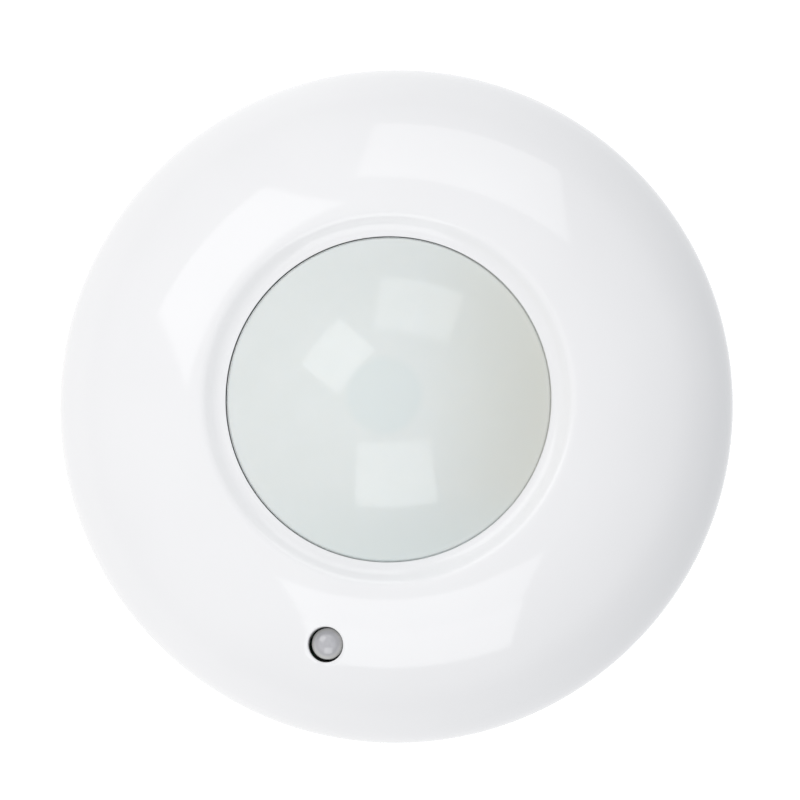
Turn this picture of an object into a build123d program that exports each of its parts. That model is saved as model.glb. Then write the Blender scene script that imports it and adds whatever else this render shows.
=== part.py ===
from build123d import *
import os
from math import cos, pi, radians, sin, sqrt, tan

# Round ceiling motion sensor. All sizes are in millimetres.
# The back rests on z = 0, the lens faces +Z, and the status light lies towards -Y.

# ---- front cover ----
COVER_R = 55.0            # outside radius of the cover
COVER_WALL = 2.2          # thickness of the domed skin
COVER_EDGE_Z = 0.8        # lower edge, just clear of the surface behind
SHOULDER_Z = 2.0          # where the upright edge turns into the domed skin
CREST_Z = 23.3            # height of the highest ring of the cover
CREST_ROUND = 2.0         # radius that rolls the crest over into the recess
CREST_SLOPE = 8.0         # steepness with which the skin leaves the crest, in degrees
SHOULDER_SLOPE = 32.0     # steepness at which the skin starts to bend down to its edge
RECESS_SLOPE = 35.0       # steepness of the recess wall, in degrees
RECESS_DEPTH = 1.5        # how far the land around the lens lies below the crest
LAND_WIDTH = 1.4          # width of that flat land
LAND_WALL = 1.8           # thickness of the land

# ---- lens and what holds it ----
LENS_R = 26.2             # outside radius of the lens wall
LENS_GAP = 0.2            # gap between the lens and the cover's hole
LENS_WALL = 0.9
LENS_RISE = 10.5          # height of the dome above its wall
LENS_SHOULDER = 0.3       # how far the lens wall stands above the land
FLANGE_REACH = 2.05       # how far the lens flange reaches past the lens wall
FLANGE_T = 0.8
SEAL_T = 0.6
HOLDER_REACH = 0.3        # how far the holder reaches past the lens flange
RING_GAP = 0.5            # gap between the retaining ring and the lens wall
RING_T = 1.2
RING_LIFT = 0.4           # gap over the retaining ring, and under its skirt
RING_SKIRT = 2.1
RING_FIT = 0.05           # radial gap between the ring's skirt and the holder
PEG_R = 1.0
PEG_FIT = 0.05
PEG_H = 1.4
PEG_TURNS = (90, 210, 330)

# ---- mounting base ----
BASE_GAP = 0.8            # radial gap between the base and the cover's inside
BASE_FLOOR = 2.4
BASE_RIM_WALL = 2.0
ENTRY_R = 17.0            # radius of the cable opening
ENTRY_RIM_WALL = 1.6
ENTRY_RIM_Z = 3.6
BACK_RECESS = 0.8         # depth of the lightening pockets in the back
POCKET_SWEEP = 60.0
POCKET_START = 15.0
SLOT_R = 2.2              # half the width of a screw slot
NARROW_SPACING = 60.3     # screw spacing of a round flush box, along X
NARROW_SLOT = 12.0
WIDE_SPACING = 83.3       # screw spacing of a single-gang box, along Y
WIDE_SLOT = 10.0

# ---- bayonet between the base and the head ----
LUG_TURNS = (10, 130, 250)
LUG_SWEEP = 18.0
LEDGE_SWEEP = 22.0
LEDGE_T = 1.3
LUG_T = 1.2
LEDGE_PLAY = 0.1          # gap between a lug and the ledge above it
LUG_LIFT = 0.4            # gap under the lugs
LUG_PLAY = 0.4            # radial play of the lugs in the rim
SKIRT_PLAY = 0.4          # radial play of the skirt inside the ledges
LEDGE_REACH = 2.8
SKIRT_WALL = 1.4
STOP_SWEEP = 1.6
STOP_PLAY = 0.5           # angle between a lug and its stop, in degrees
TWIST = 21.0              # angle that frees the head

# ---- rear housing ----
HOUSING_LIFT = 0.3        # gap between the base's rim and the housing
HOUSING_PLAY = 1.4        # gap between the housing's wall and the cover's skin
HOUSING_FLOOR = 1.8
HOUSING_WALL = 1.6
HOUSING_WALL_H = 2.0
WINDOW_X = 22.0
WINDOW_Y = 25.5
WINDOW_OFFSET_Y = 0.25

# ---- posts that hold the cover ----
POST_TURNS = (75, 195, 315)
POST_CIRCLE = 44.0
POST_R = 1.6
POST_FIT = 0.02
POST_H = 7.0              # height of a post above the housing floor
POST_SHOULDER_R = 2.6
POST_SHOULDER_H = 1.9
BOSS_R = 3.0
BOSS_LIFT = 0.2           # gap between a post's shoulder and the cover's boss
BOSS_DEPTH_SPARE = 0.4

# ---- circuit board ----
BOARD_R = 45.0
BOARD_T = 1.6
BOARD_LIFT = 3.1          # height of the board above the housing floor
NOTCH_SPARE = 0.5
SCREW_TURNS = (60, 180, 300)
SCREW_CIRCLE = 41.5
SCREW_SHANK_R = 1.2
SCREW_FIT = 0.05
SCREW_HEAD_R = 2.5
SCREW_HEAD_H = 1.4
SCREW_SLOT_W = 0.6
SCREW_SLOT_DEPTH = 0.6
SCREW_TIP_SPARE = 0.8
STANDOFF_R = 2.8
LEAD_HOLE_SPARE = 0.15
LEAD_BELOW = 1.2          # how far leads stand out under the board

# ---- status light ----
LED_TURN = 255.5
LED_CIRCLE = 40.9
LED_R = 2.5
LED_GAP = 0.35
LED_SINK = 0.2            # how far the light's top lies under the cover's surface
LED_LIFT = 0.2            # gap between the light's flange and the board
LED_FLANGE_REACH = 0.4
LED_FLANGE_H = 1.0
LED_LEAD_HALF = 0.25
LED_LEAD_PITCH = 2.54
LED_COLLAR_WALL = 1.1
LED_COLLAR_DEPTH = 4.0    # how far the collar reaches below the light's top
LED_SHIFT_X = 0.22        # the light stands a little to the right of and above its hole's centre
LED_SHIFT_Y = 0.16

# ---- heat sensor in its metal can ----
PIR_FLANGE_R = 4.55
PIR_FLANGE_T = 0.6
PIR_LIFT = 0.2
PIR_CAN_R = 4.15
PIR_CAN_H = 3.8
PIR_CAN_WALL = 0.25
PIR_WINDOW_X = 4.0
PIR_WINDOW_Y = 3.0
PIR_WINDOW_T = 0.4
PIR_WINDOW_LAP = 0.5
PIR_LEAD_R = 0.22
PIR_LEAD_CIRCLE = 2.54
PIR_LEAD_TURNS = (45, 135, 225)

# ---- terminal block, under the board ----
TERMINALS = 4
TERMINAL_PITCH = 4.2
TERMINAL_SIDE = 0.4
TERMINAL_DEPTH = 7.0
TERMINAL_H = 8.9
TERMINAL_Y = -7.2
TERMINAL_WELL_R = 1.65
TERMINAL_SCREW_R = 1.55
TERMINAL_SCREW_H = 1.5
TERMINAL_WELL_DEPTH = 3.0
TERMINAL_PORT_W = 3.0
TERMINAL_PORT_H = 3.2
TERMINAL_PORT_DEPTH = 5.4
TERMINAL_CLAMP_T = 0.7
TERMINAL_CLAMP_SPARE = 0.1

# ---- tamper plunger, its spring and its switch ----
TAMPER_TURN = 40.0
TAMPER_CIRCLE = 33.0
TAMPER_TRAVEL = 1.4
PLUNGER_R = 3.0
PLUNGER_COLLAR_REACH = 0.6
PLUNGER_COLLAR_H = 0.8
PLUNGER_PLAY = 0.05
PLUNGER_CUP_R = 2.1
PLUNGER_CUP_FLOOR = 1.3
RAMP_H = 1.75             # height of the ramp above the base's floor
RAMP_PLAY = 0.05
RAMP_HALF_WIDTH = 4.0
RAMP_LEAD_IN = 3.5
RAMP_RUN_OUT = 3.5
SLEEVE_WALL = 0.95
SLEEVE_LIFT = 0.25        # gap between the sleeve and the ramp
SLEEVE_LIP_T = 0.8
TACT_SIDE = 6.0
TACT_H = 2.4
TACT_STEM_R = 1.7
TACT_STEM_H = 0.5
SPRING_WIRE_R = 0.15
SPRING_MEAN_R = 1.6
SPRING_TURNS = 4
SPRING_PLAY = 0.02

# ---- parts on the top of the board ----
TRIMMER_SIDE = 6.6
TRIMMER_H = 4.2
TRIMMER_ROTOR_R = 2.1
TRIMMER_ROTOR_PLAY = 0.05
TRIMMER_ROTOR_FLOOR = 1.4
TRIMMER_ROTOR_PROUD = 0.5
TRIMMER_SLOT_W = 0.6
TRIMMER_SLOT_LENGTH = 3.2
TRIMMER_SLOT_DEPTH = 0.7
TRIMMER_TURNS = {"time": 345.0, "range": 10.0}
DIP_TURN = 35.0
DIP_WAYS = 4
DIP_PITCH = 2.54
DIP_SIDE = 0.7
DIP_DEPTH = 6.6
DIP_H = 3.2
DIP_SLOT_W = 1.6
DIP_SLOT_LENGTH = 3.4
DIP_SLOT_DEPTH = 1.4
DIP_SLIDER_W = 1.4
DIP_SLIDER_LENGTH = 1.8
DIP_SLIDER_PROUD = 0.6
DIP_END_PLAY = 0.1
DIP_ON = (True, False, True, True)
TEST_TURN = 278.0
TEST_SIDE = 6.0
TEST_H = 3.5
TEST_STEM_R = 1.75
TEST_STEM_PLAY = 0.05
TEST_STEM_FLOOR = 1.5
TEST_STEM_PROUD = 1.5
TEST_TRAVEL = 0.25
RELAY_TURN = 108.0
RELAY_X = 6.1
RELAY_Y = 10.2
RELAY_H = 5.0
RELAY_LIFT = 0.3
RELAY_PIN_W = 0.5
RELAY_PINS_A_SIDE = 4
RELAY_PIN_PITCH = 2.54
CAPACITOR_TURNS = (90.0, 126.0)
CAPACITOR_R = 3.15
CAPACITOR_H = 4.6
CAPACITOR_FOOT = 6.4
CAPACITOR_FOOT_H = 0.8
CHIP_TURN = 146.0
CHIP_X = 3.9
CHIP_Y = 8.65
CHIP_H = 1.5
CHIP_LIFT = 0.15
CHIP_LEADS_A_SIDE = 7
CHIP_LEAD_PITCH = 1.27
CHIP_LEAD_W = 0.4
CHIP_LEAD_REACH = 1.05
CHIP_LEAD_T = 0.2
REGULATOR_TURN = 163.0
REGULATOR_X = 3.5
REGULATOR_Y = 6.5
REGULATOR_H = 1.6
REGULATOR_TAB_Y = 3.0
REGULATOR_TAB_X = 1.7
JUMPER_TURN = 212.0
JUMPER_PITCH = 2.54
JUMPER_BASE_H = 2.5
JUMPER_PIN_W = 0.64
JUMPER_PIN_H = 5.0
JUMPER_PLAY = 0.04
JUMPER_CAP_H = 2.3
PASSIVE_X = 1.25
PASSIVE_Y = 2.0
PASSIVE_H = 0.6
PASSIVE_CAP_Y = 0.4
PASSIVE_PITCH = 2.6
PASSIVE_ROWS = {226.0: 3, 238.0: 2, 329.0: 3}

# ---- places worked out from the sizes above ----
COVER_HOLE_R = LENS_R + LENS_GAP
LAND_Z = CREST_Z - RECESS_DEPTH
LAND_R = COVER_HOLE_R + LAND_WIDTH
ROLL_Z = CREST_Z - CREST_ROUND * (1 - cos(radians(RECESS_SLOPE)))
ROLL_R = LAND_R + (ROLL_Z - LAND_Z) / tan(radians(RECESS_SLOPE))
CREST_R = ROLL_R + CREST_ROUND * sin(radians(RECESS_SLOPE))
BEND_START = radians(CREST_SLOPE)
BEND_END = radians(SHOULDER_SLOPE)
SKIN_WIDTH = COVER_R - CREST_R - CREST_ROUND * sin(BEND_START)
SKIN_DROP = CREST_Z - CREST_ROUND * (1 - cos(BEND_START)) - SHOULDER_Z
BEND_OUT = sin(BEND_END) - sin(BEND_START)
BEND_DOWN = cos(BEND_START) - cos(BEND_END)
BEND_SCALE = BEND_OUT * cos(BEND_END) - BEND_DOWN * (1 - sin(BEND_END))
BROAD_ROUND = (SKIN_WIDTH * cos(BEND_END) - SKIN_DROP * (1 - sin(BEND_END))) / BEND_SCALE
SHOULDER_ROUND = (BEND_OUT * SKIN_DROP - BEND_DOWN * SKIN_WIDTH) / BEND_SCALE
LENS_WALL_TOP = LAND_Z + LENS_SHOULDER
BASE_R = COVER_R - COVER_WALL - BASE_GAP
LEDGE_OUTER_R = BASE_R - BASE_RIM_WALL
LEDGE_INNER_R = LEDGE_OUTER_R - LEDGE_REACH
LUG_R = LEDGE_OUTER_R - LUG_PLAY
SKIRT_R = LEDGE_INNER_R - SKIRT_PLAY
LUG_Z = BASE_FLOOR + LUG_LIFT
BASE_RIM_Z = LUG_Z + LUG_T + LEDGE_PLAY + LEDGE_T
HOUSING_Z = BASE_RIM_Z + HOUSING_LIFT
HOUSING_TOP = HOUSING_Z + HOUSING_FLOOR
HOUSING_WALL_TOP = HOUSING_TOP + HOUSING_WALL_H
HOUSING_R = (
    COVER_R - SHOULDER_ROUND - HOUSING_PLAY
    + sqrt((SHOULDER_ROUND - COVER_WALL) ** 2 - (HOUSING_WALL_TOP - SHOULDER_Z) ** 2)
)
BOARD_Z = HOUSING_TOP + BOARD_LIFT
BOARD_TOP = BOARD_Z + BOARD_T
LED_FOOT_Z = BOARD_TOP + LED_LIFT
POST_TOP_Z = HOUSING_TOP + POST_H
POST_SHOULDER_TOP = HOUSING_TOP + POST_SHOULDER_H
BOSS_Z = POST_SHOULDER_TOP + BOSS_LIFT
HOLDER_TOP = LAND_Z - LAND_WALL - RING_LIFT - RING_T - FLANGE_T - SEAL_T
SEAL_TOP = HOLDER_TOP + SEAL_T
FLANGE_TOP = SEAL_TOP + FLANGE_T
FLANGE_R = LENS_R + FLANGE_REACH
HOLDER_R = FLANGE_R + HOLDER_REACH
PEG_CIRCLE = (HOLDER_R + LENS_R - LENS_WALL) / 2
RING_R = HOLDER_R + RING_FIT + RING_SKIRT
PARTS_CIRCLE = (RING_R + BOARD_R) / 2
RAMP_Z = BASE_FLOOR + RAMP_H
PLUNGER_TIP_Z = RAMP_Z + RAMP_PLAY
PLUNGER_COLLAR_R = PLUNGER_R + PLUNGER_COLLAR_REACH
SLEEVE_LIP_Z = RAMP_Z + SLEEVE_LIFT
TACT_Z = BOARD_Z - TACT_H
TACT_STEM_Z = TACT_Z - TACT_STEM_H
TERMINAL_Z = BOARD_Z - TERMINAL_H

BOTTOM = (Align.CENTER, Align.CENTER, Align.MIN)


def disc(radius, low, high):
    """A round slab about the Z axis."""
    return Pos(0, 0, low) * Cylinder(radius, high - low, align=BOTTOM)


def ring(outer, inner, low, high):
    """A flat ring about the Z axis."""
    return disc(outer, low, high) - disc(inner, low, high)


def slab(size_x, size_y, low, high):
    """A rectangular block centred on the Z axis."""
    return Pos(0, 0, low) * Box(size_x, size_y, high - low, align=BOTTOM)


def sector(outer, inner, low, high, start, sweep):
    """Part of a ring, from the start angle through the sweep."""
    section = Rectangle(outer - inner, high - low)
    section = Plane.XZ * Pos((outer + inner) / 2, (low + high) / 2) * section
    return Rot(0, 0, start) * revolve(section, Axis.Z, sweep)


def at(turn, circle):
    """The place on a circle about the Z axis, with local X pointing outwards."""
    return Rot(0, 0, turn) * Pos(circle, 0, 0)


def joined(shapes):
    """All of the shapes as one, fused where they touch."""
    shapes = list(shapes)
    return shapes[0] + shapes[1:] if len(shapes) > 1 else shapes[0]


def spun(lines):
    """The solid of revolution of a closed outline in the XZ plane."""
    return revolve(Plane.XZ * make_face(Curve() + lines), Axis.Z)


def skin_arcs():
    """The skin's two arcs, each a centre and a radius: the broad one, then the shoulder's."""
    broad_centre = (
        COVER_R - SKIN_WIDTH - BROAD_ROUND * sin(BEND_START),
        SHOULDER_Z + SKIN_DROP - BROAD_ROUND * cos(BEND_START),
    )
    return (broad_centre, BROAD_ROUND), ((COVER_R - SHOULDER_ROUND, SHOULDER_Z), SHOULDER_ROUND)


def skin_z(radius, wall=0.0):
    """Height of the domed skin at a radius, or of a surface lying below it by the wall."""
    (centre, bow), shoulder = skin_arcs()
    if radius > centre[0] + (bow - wall) * sin(BEND_END):
        centre, bow = shoulder
    return centre[1] + sqrt((bow - wall) ** 2 - (radius - centre[0]) ** 2)


def skin_lines(wall=0.0):
    """The domed skin from the crest out to the shoulder, or a line lying below it by the wall."""
    lines = []
    slopes = (BEND_START, BEND_END, pi / 2)
    for (centre, bow), low, high in zip(skin_arcs(), slopes, slopes[1:]):
        reach = bow - wall
        bends = (low, (low + high) / 2, high)
        lines.append(ThreePointArc(*(
            (centre[0] + reach * sin(bend), centre[1] + reach * cos(bend)) for bend in bends
        )))
    return lines


def crest_point(slope, wall=0.0):
    """A point where the crest's roll has the slope, in degrees, or one below it by the wall."""
    bend = radians(slope)
    reach = CREST_ROUND - wall
    return CREST_R + reach * sin(bend), CREST_Z - CREST_ROUND + reach * cos(bend)


def led_top_z():
    """The status light stops just short of the cover's surface above it."""
    return skin_z(LED_CIRCLE) - LED_SINK


def led_place():
    """Where the status light stands: beside the middle of its hole."""
    return Pos(LED_SHIFT_X, LED_SHIFT_Y, 0) * at(LED_TURN, LED_CIRCLE)


# ---------------------------------------------------------------- cover

def cover_shell():
    """The domed ring with its recess around the lens."""
    inner_r = COVER_R - COVER_WALL
    under_r = LAND_R + LAND_WALL * tan(radians(RECESS_SLOPE) / 2)
    crest = (CREST_SLOPE, (CREST_SLOPE - RECESS_SLOPE) / 2, -RECESS_SLOPE)
    return spun([
        *skin_lines(),
        ThreePointArc(*(crest_point(slope) for slope in crest)),
        Polyline(
            crest_point(-RECESS_SLOPE), (LAND_R, LAND_Z), (COVER_HOLE_R, LAND_Z),
            (COVER_HOLE_R, LAND_Z - LAND_WALL), (under_r, LAND_Z - LAND_WALL),
            crest_point(CREST_SLOPE, COVER_WALL),
        ),
        *skin_lines(COVER_WALL),
        Polyline(
            (inner_r, SHOULDER_Z), (inner_r, COVER_EDGE_Z),
            (COVER_R, COVER_EDGE_Z), (COVER_R, SHOULDER_Z),
        ),
    ])


def under_skin():
    """Everything that lies below the middle of the domed skin."""
    half = COVER_WALL / 2
    crest_r, crest_z = crest_point(CREST_SLOPE, half)
    return spun([
        *skin_lines(half),
        Polyline(
            (crest_r, crest_z), (0, crest_z), (0, COVER_EDGE_Z),
            (COVER_R - half, COVER_EDGE_Z), (COVER_R - half, SHOULDER_Z),
        ),
    ])


def front_cover():
    """The shell with three sockets for the posts and a collar round the status light."""
    core = under_skin()
    bosses = joined(at(turn, POST_CIRCLE) * disc(BOSS_R, BOSS_Z, CREST_Z) for turn in POST_TURNS)
    collar_r = LED_R + LED_GAP + LED_COLLAR_WALL
    collar = at(LED_TURN, LED_CIRCLE) * disc(collar_r, led_top_z() - LED_COLLAR_DEPTH, CREST_Z)
    cover = cover_shell() + (bosses & core) + (collar & core)
    bore_top = POST_TOP_Z + BOSS_DEPTH_SPARE
    for turn in POST_TURNS:
        cover -= at(turn, POST_CIRCLE) * disc(POST_R + POST_FIT, BOSS_Z, bore_top)
    return cover - at(LED_TURN, LED_CIRCLE) * disc(LED_R + LED_GAP, 0, CREST_Z)


# ---------------------------------------------------------------- base

def screw_slots():
    """Two slots along X for the narrow screw spacing and two along Y for the wide one."""
    cuts = []
    for turn, spacing, length in ((0, NARROW_SPACING, NARROW_SLOT), (90, WIDE_SPACING, WIDE_SLOT)):
        for side in (turn, turn + 180):
            outline = SlotOverall(length, 2 * SLOT_R)
            cuts.append(at(side, spacing / 2) * extrude(outline, BASE_FLOOR))
    return cuts


def tamper_ramp():
    """The wedge that the plunger rides down while the head turns."""
    high = RAMP_Z
    run = TAMPER_CIRCLE * sin(radians(TWIST))
    outline = Polyline(
        (-RAMP_LEAD_IN, BASE_FLOOR / 2), (-RAMP_LEAD_IN, high), (0, high),
        (run, high - TAMPER_TRAVEL), (run + RAMP_RUN_OUT, high - TAMPER_TRAVEL),
        (run + RAMP_RUN_OUT, BASE_FLOOR / 2), close=True,
    )
    wedge = extrude(make_face(Plane.YZ * outline), RAMP_HALF_WIDTH, both=True)
    return at(TAMPER_TURN, TAMPER_CIRCLE) * wedge


def bayonet_ledges():
    """Ledges on the rim that hold the lugs down, with a stop at each end of the travel."""
    low = BASE_RIM_Z - LEDGE_T
    shapes = []
    for turn in LUG_TURNS:
        first = turn - LUG_SWEEP / 2 - STOP_PLAY - STOP_SWEEP
        last = turn + LUG_SWEEP / 2 + TWIST + STOP_PLAY
        ledge_end = turn + LEDGE_SWEEP / 2
        reach = (LEDGE_OUTER_R + BASE_RIM_WALL / 2, LEDGE_INNER_R)
        shapes.append(sector(*reach, low, BASE_RIM_Z, first, ledge_end - first))
        shapes.append(sector(*reach, BASE_FLOOR / 2, BASE_RIM_Z, first, STOP_SWEEP))
        shapes.append(sector(*reach, BASE_FLOOR / 2, BASE_RIM_Z, last, STOP_SWEEP))
    return shapes


def back_pockets():
    """Shallow pockets that lighten the back between the screw slots."""
    inner = ENTRY_R + 2 * ENTRY_RIM_WALL
    outer = SKIRT_R - SKIRT_WALL
    turns = range(4)
    return [
        sector(outer, inner, 0, BACK_RECESS, POCKET_START + 90 * turn, POCKET_SWEEP)
        for turn in turns
    ]


def mounting_base():
    """The plate that screws to the ceiling."""
    plate = disc(BASE_R, 0, BASE_FLOOR)
    rim = ring(BASE_R, LEDGE_OUTER_R, 0, BASE_RIM_Z)
    entry = ring(ENTRY_R + ENTRY_RIM_WALL, ENTRY_R, 0, ENTRY_RIM_Z)
    base = plate + [rim, entry, tamper_ramp()] + bayonet_ledges()
    return base - [disc(ENTRY_R, 0, ENTRY_RIM_Z)] - screw_slots() - back_pockets()


# ---------------------------------------------------------------- rear housing

def housing_posts():
    """Shouldered posts that the cover's sockets slide over."""
    shapes = []
    for turn in POST_TURNS:
        post = disc(POST_R, HOUSING_Z, POST_TOP_Z)
        shoulder = disc(POST_SHOULDER_R, HOUSING_Z, POST_SHOULDER_TOP)
        shapes.append(at(turn, POST_CIRCLE) * (post + shoulder))
    return shapes


def bayonet_lugs():
    """The skirt under the housing and its three lugs."""
    skirt = ring(SKIRT_R, SKIRT_R - SKIRT_WALL, LUG_Z, HOUSING_TOP)
    lugs = [
        sector(LUG_R, SKIRT_R - SKIRT_WALL / 2, LUG_Z, LUG_Z + LUG_T, turn - LUG_SWEEP / 2, LUG_SWEEP)
        for turn in LUG_TURNS
    ]
    return [skirt] + lugs


def tamper_sleeve():
    """The sleeve that guides the plunger, with a lip that keeps it in."""
    outer = PLUNGER_COLLAR_R + PLUNGER_PLAY + SLEEVE_WALL
    return at(TAMPER_TURN, TAMPER_CIRCLE) * disc(outer, SLEEVE_LIP_Z, HOUSING_TOP)


def sleeve_bore():
    """The stepped bore of the sleeve."""
    narrow = disc(PLUNGER_R + PLUNGER_PLAY, SLEEVE_LIP_Z, HOUSING_TOP)
    wide = disc(PLUNGER_COLLAR_R + PLUNGER_PLAY, SLEEVE_LIP_Z + SLEEVE_LIP_T, HOUSING_TOP)
    return at(TAMPER_TURN, TAMPER_CIRCLE) * (narrow + wide)


def rear_housing():
    """The tray that carries the circuit board and turns on the base."""
    floor = disc(HOUSING_R, HOUSING_Z, HOUSING_TOP)
    wall = ring(HOUSING_R, HOUSING_R - HOUSING_WALL, HOUSING_Z, HOUSING_WALL_TOP)
    standoffs = [at(turn, SCREW_CIRCLE) * disc(STANDOFF_R, HOUSING_Z, BOARD_Z) for turn in SCREW_TURNS]
    housing = floor + [wall, tamper_sleeve()] + standoffs + housing_posts() + bayonet_lugs()
    window = Pos(0, WINDOW_OFFSET_Y, 0) * slab(WINDOW_X, WINDOW_Y, HOUSING_Z, HOUSING_TOP)
    screw_holes = [
        at(turn, SCREW_CIRCLE) * disc(SCREW_SHANK_R + SCREW_FIT, HOUSING_Z + SCREW_TIP_SPARE, BOARD_Z)
        for turn in SCREW_TURNS
    ]
    return housing - [window, sleeve_bore()] - screw_holes


# ---------------------------------------------------------------- board and its fixings

def led_lead_places():
    """The two legs of the status light."""
    return [led_place() * Pos(0, side * LED_LEAD_PITCH / 2, 0) for side in (-1, 1)]


def pir_lead_places():
    """The three legs of the heat sensor."""
    return [at(turn, PIR_LEAD_CIRCLE) for turn in PIR_LEAD_TURNS]


def circuit_board():
    """The round board, notched for the cover's sockets."""
    board = disc(BOARD_R, BOARD_Z, BOARD_TOP)
    cuts = [
        at(turn, POST_CIRCLE) * disc(BOSS_R + NOTCH_SPARE, BOARD_Z, BOARD_TOP) for turn in POST_TURNS
    ]
    cuts += [
        at(turn, SCREW_CIRCLE) * disc(SCREW_SHANK_R + 2 * SCREW_FIT, BOARD_Z, BOARD_TOP)
        for turn in SCREW_TURNS
    ]
    cuts += [at(turn, PEG_CIRCLE) * disc(PEG_R + PEG_FIT, BOARD_Z, BOARD_TOP) for turn in PEG_TURNS]
    led_hole = 2 * LED_LEAD_HALF + LEAD_HOLE_SPARE
    cuts += [place * slab(led_hole, led_hole, BOARD_Z, BOARD_TOP) for place in led_lead_places()]
    pir_hole = PIR_LEAD_R + LEAD_HOLE_SPARE
    cuts += [place * disc(pir_hole, BOARD_Z, BOARD_TOP) for place in pir_lead_places()]
    return board - cuts


def board_screw():
    """One slotted screw that holds the board."""
    shank = disc(SCREW_SHANK_R, HOUSING_Z + 2 * SCREW_TIP_SPARE, BOARD_TOP)
    head_top = BOARD_TOP + SCREW_HEAD_H
    head = disc(SCREW_HEAD_R, BOARD_TOP, head_top)
    slot = slab(3 * SCREW_HEAD_R, SCREW_SLOT_W, head_top - SCREW_SLOT_DEPTH, head_top)
    return shank + head - slot


def board_screws():
    """The three board screws."""
    return Compound([at(turn, SCREW_CIRCLE) * board_screw() for turn in SCREW_TURNS])


def lens_holder():
    """The ring on the board that carries the lens, with three pegs in the board."""
    body = ring(HOLDER_R, LENS_R - LENS_WALL, BOARD_TOP, HOLDER_TOP)
    pegs = [at(turn, PEG_CIRCLE) * disc(PEG_R, BOARD_TOP - PEG_H, HOLDER_TOP) for turn in PEG_TURNS]
    return body + pegs


def lens_seal():
    """The soft washer under the lens flange."""
    return ring(FLANGE_R, LENS_R - LENS_WALL, HOLDER_TOP, SEAL_TOP)


def lens():
    """The domed lens with its upright wall and its flange."""
    sphere_r = (LENS_R ** 2 + LENS_RISE ** 2) / (2 * LENS_RISE)
    crown = LENS_WALL_TOP + LENS_RISE
    outside = Pos(0, 0, crown - sphere_r) * Sphere(sphere_r)
    inside = Pos(0, 0, crown - sphere_r) * Sphere(sphere_r - LENS_WALL)
    body = disc(LENS_R, SEAL_TOP, crown) & outside
    flange = disc(FLANGE_R, SEAL_TOP, FLANGE_TOP)
    hollow = disc(LENS_R - LENS_WALL, SEAL_TOP, crown) & inside
    return body + flange - hollow


def lens_ring():
    """The ring that clamps the lens flange to its holder."""
    inner = LENS_R + RING_GAP
    top = ring(RING_R, inner, FLANGE_TOP, FLANGE_TOP + RING_T)
    skirt = ring(RING_R, HOLDER_R + RING_FIT, BOARD_TOP + RING_LIFT, FLANGE_TOP)
    return top + skirt


# ---------------------------------------------------------------- heat sensor

def pir_header():
    """The metal disc that closes the sensor can."""
    low = BOARD_TOP + PIR_LIFT
    return disc(PIR_FLANGE_R, low, low + PIR_FLANGE_T)


def pir_can():
    """The sensor's metal can with its rectangular opening."""
    low = BOARD_TOP + PIR_LIFT + PIR_FLANGE_T
    high = low + PIR_CAN_H
    can = disc(PIR_CAN_R, low, high) - disc(PIR_CAN_R - PIR_CAN_WALL, low, high - PIR_CAN_WALL)
    return can - slab(PIR_WINDOW_X, PIR_WINDOW_Y, high - PIR_CAN_WALL, high)


def pir_window():
    """The filter glued behind the can's opening."""
    high = BOARD_TOP + PIR_LIFT + PIR_FLANGE_T + PIR_CAN_H - PIR_CAN_WALL
    lap = 2 * PIR_WINDOW_LAP
    return slab(PIR_WINDOW_X + lap, PIR_WINDOW_Y + lap, high - PIR_WINDOW_T, high)


def pir_leads():
    """The sensor's three legs."""
    low = BOARD_Z - LEAD_BELOW
    return Compound([place * disc(PIR_LEAD_R, low, BOARD_TOP + PIR_LIFT) for place in pir_lead_places()])


# ---------------------------------------------------------------- status light

def status_led():
    """The round-topped light on its small flange."""
    high = led_top_z()
    low = LED_FOOT_Z
    body = disc(LED_R, low, high - LED_R)
    dome = Pos(0, 0, high - LED_R) * Sphere(LED_R)
    flange = disc(LED_R + LED_FLANGE_REACH, low, low + LED_FLANGE_H)
    return led_place() * (body + dome + flange)


def led_leads():
    """The light's two square legs."""
    low = BOARD_Z - LEAD_BELOW
    leg = slab(2 * LED_LEAD_HALF, 2 * LED_LEAD_HALF, low, LED_FOOT_Z)
    return Compound([place * leg for place in led_lead_places()])


# ---------------------------------------------------------------- terminal block

def terminal_places():
    """One place for each terminal, in a row along X."""
    middle = (TERMINALS - 1) / 2
    return [Pos((way - middle) * TERMINAL_PITCH, TERMINAL_Y, 0) for way in range(TERMINALS)]


def terminal_port():
    """The wire port of one terminal, open towards +Y."""
    low = TERMINAL_Z + TERMINAL_WELL_DEPTH
    port = slab(TERMINAL_PORT_W, TERMINAL_PORT_DEPTH, low, low + TERMINAL_PORT_H)
    return Pos(0, (TERMINAL_DEPTH - TERMINAL_PORT_DEPTH) / 2, 0) * port


def terminal_block():
    """The insulating body with screw wells below and wire ports towards +Y."""
    width = TERMINALS * TERMINAL_PITCH + 2 * TERMINAL_SIDE
    body = Pos(0, TERMINAL_Y, 0) * slab(width, TERMINAL_DEPTH, TERMINAL_Z, BOARD_Z)
    well = disc(TERMINAL_WELL_R, TERMINAL_Z, TERMINAL_Z + TERMINAL_WELL_DEPTH)
    places = terminal_places()
    return body - [place * well for place in places] - [place * terminal_port() for place in places]


def terminal_screws():
    """One slotted screw in each well, its head just inside the mouth."""
    low = TERMINAL_Z + SCREW_SLOT_W
    head = disc(TERMINAL_SCREW_R, low, low + TERMINAL_SCREW_H)
    head -= slab(3 * TERMINAL_SCREW_R, SCREW_SLOT_W, low, low + SCREW_SLOT_DEPTH)
    return Compound([place * head for place in terminal_places()])


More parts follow.
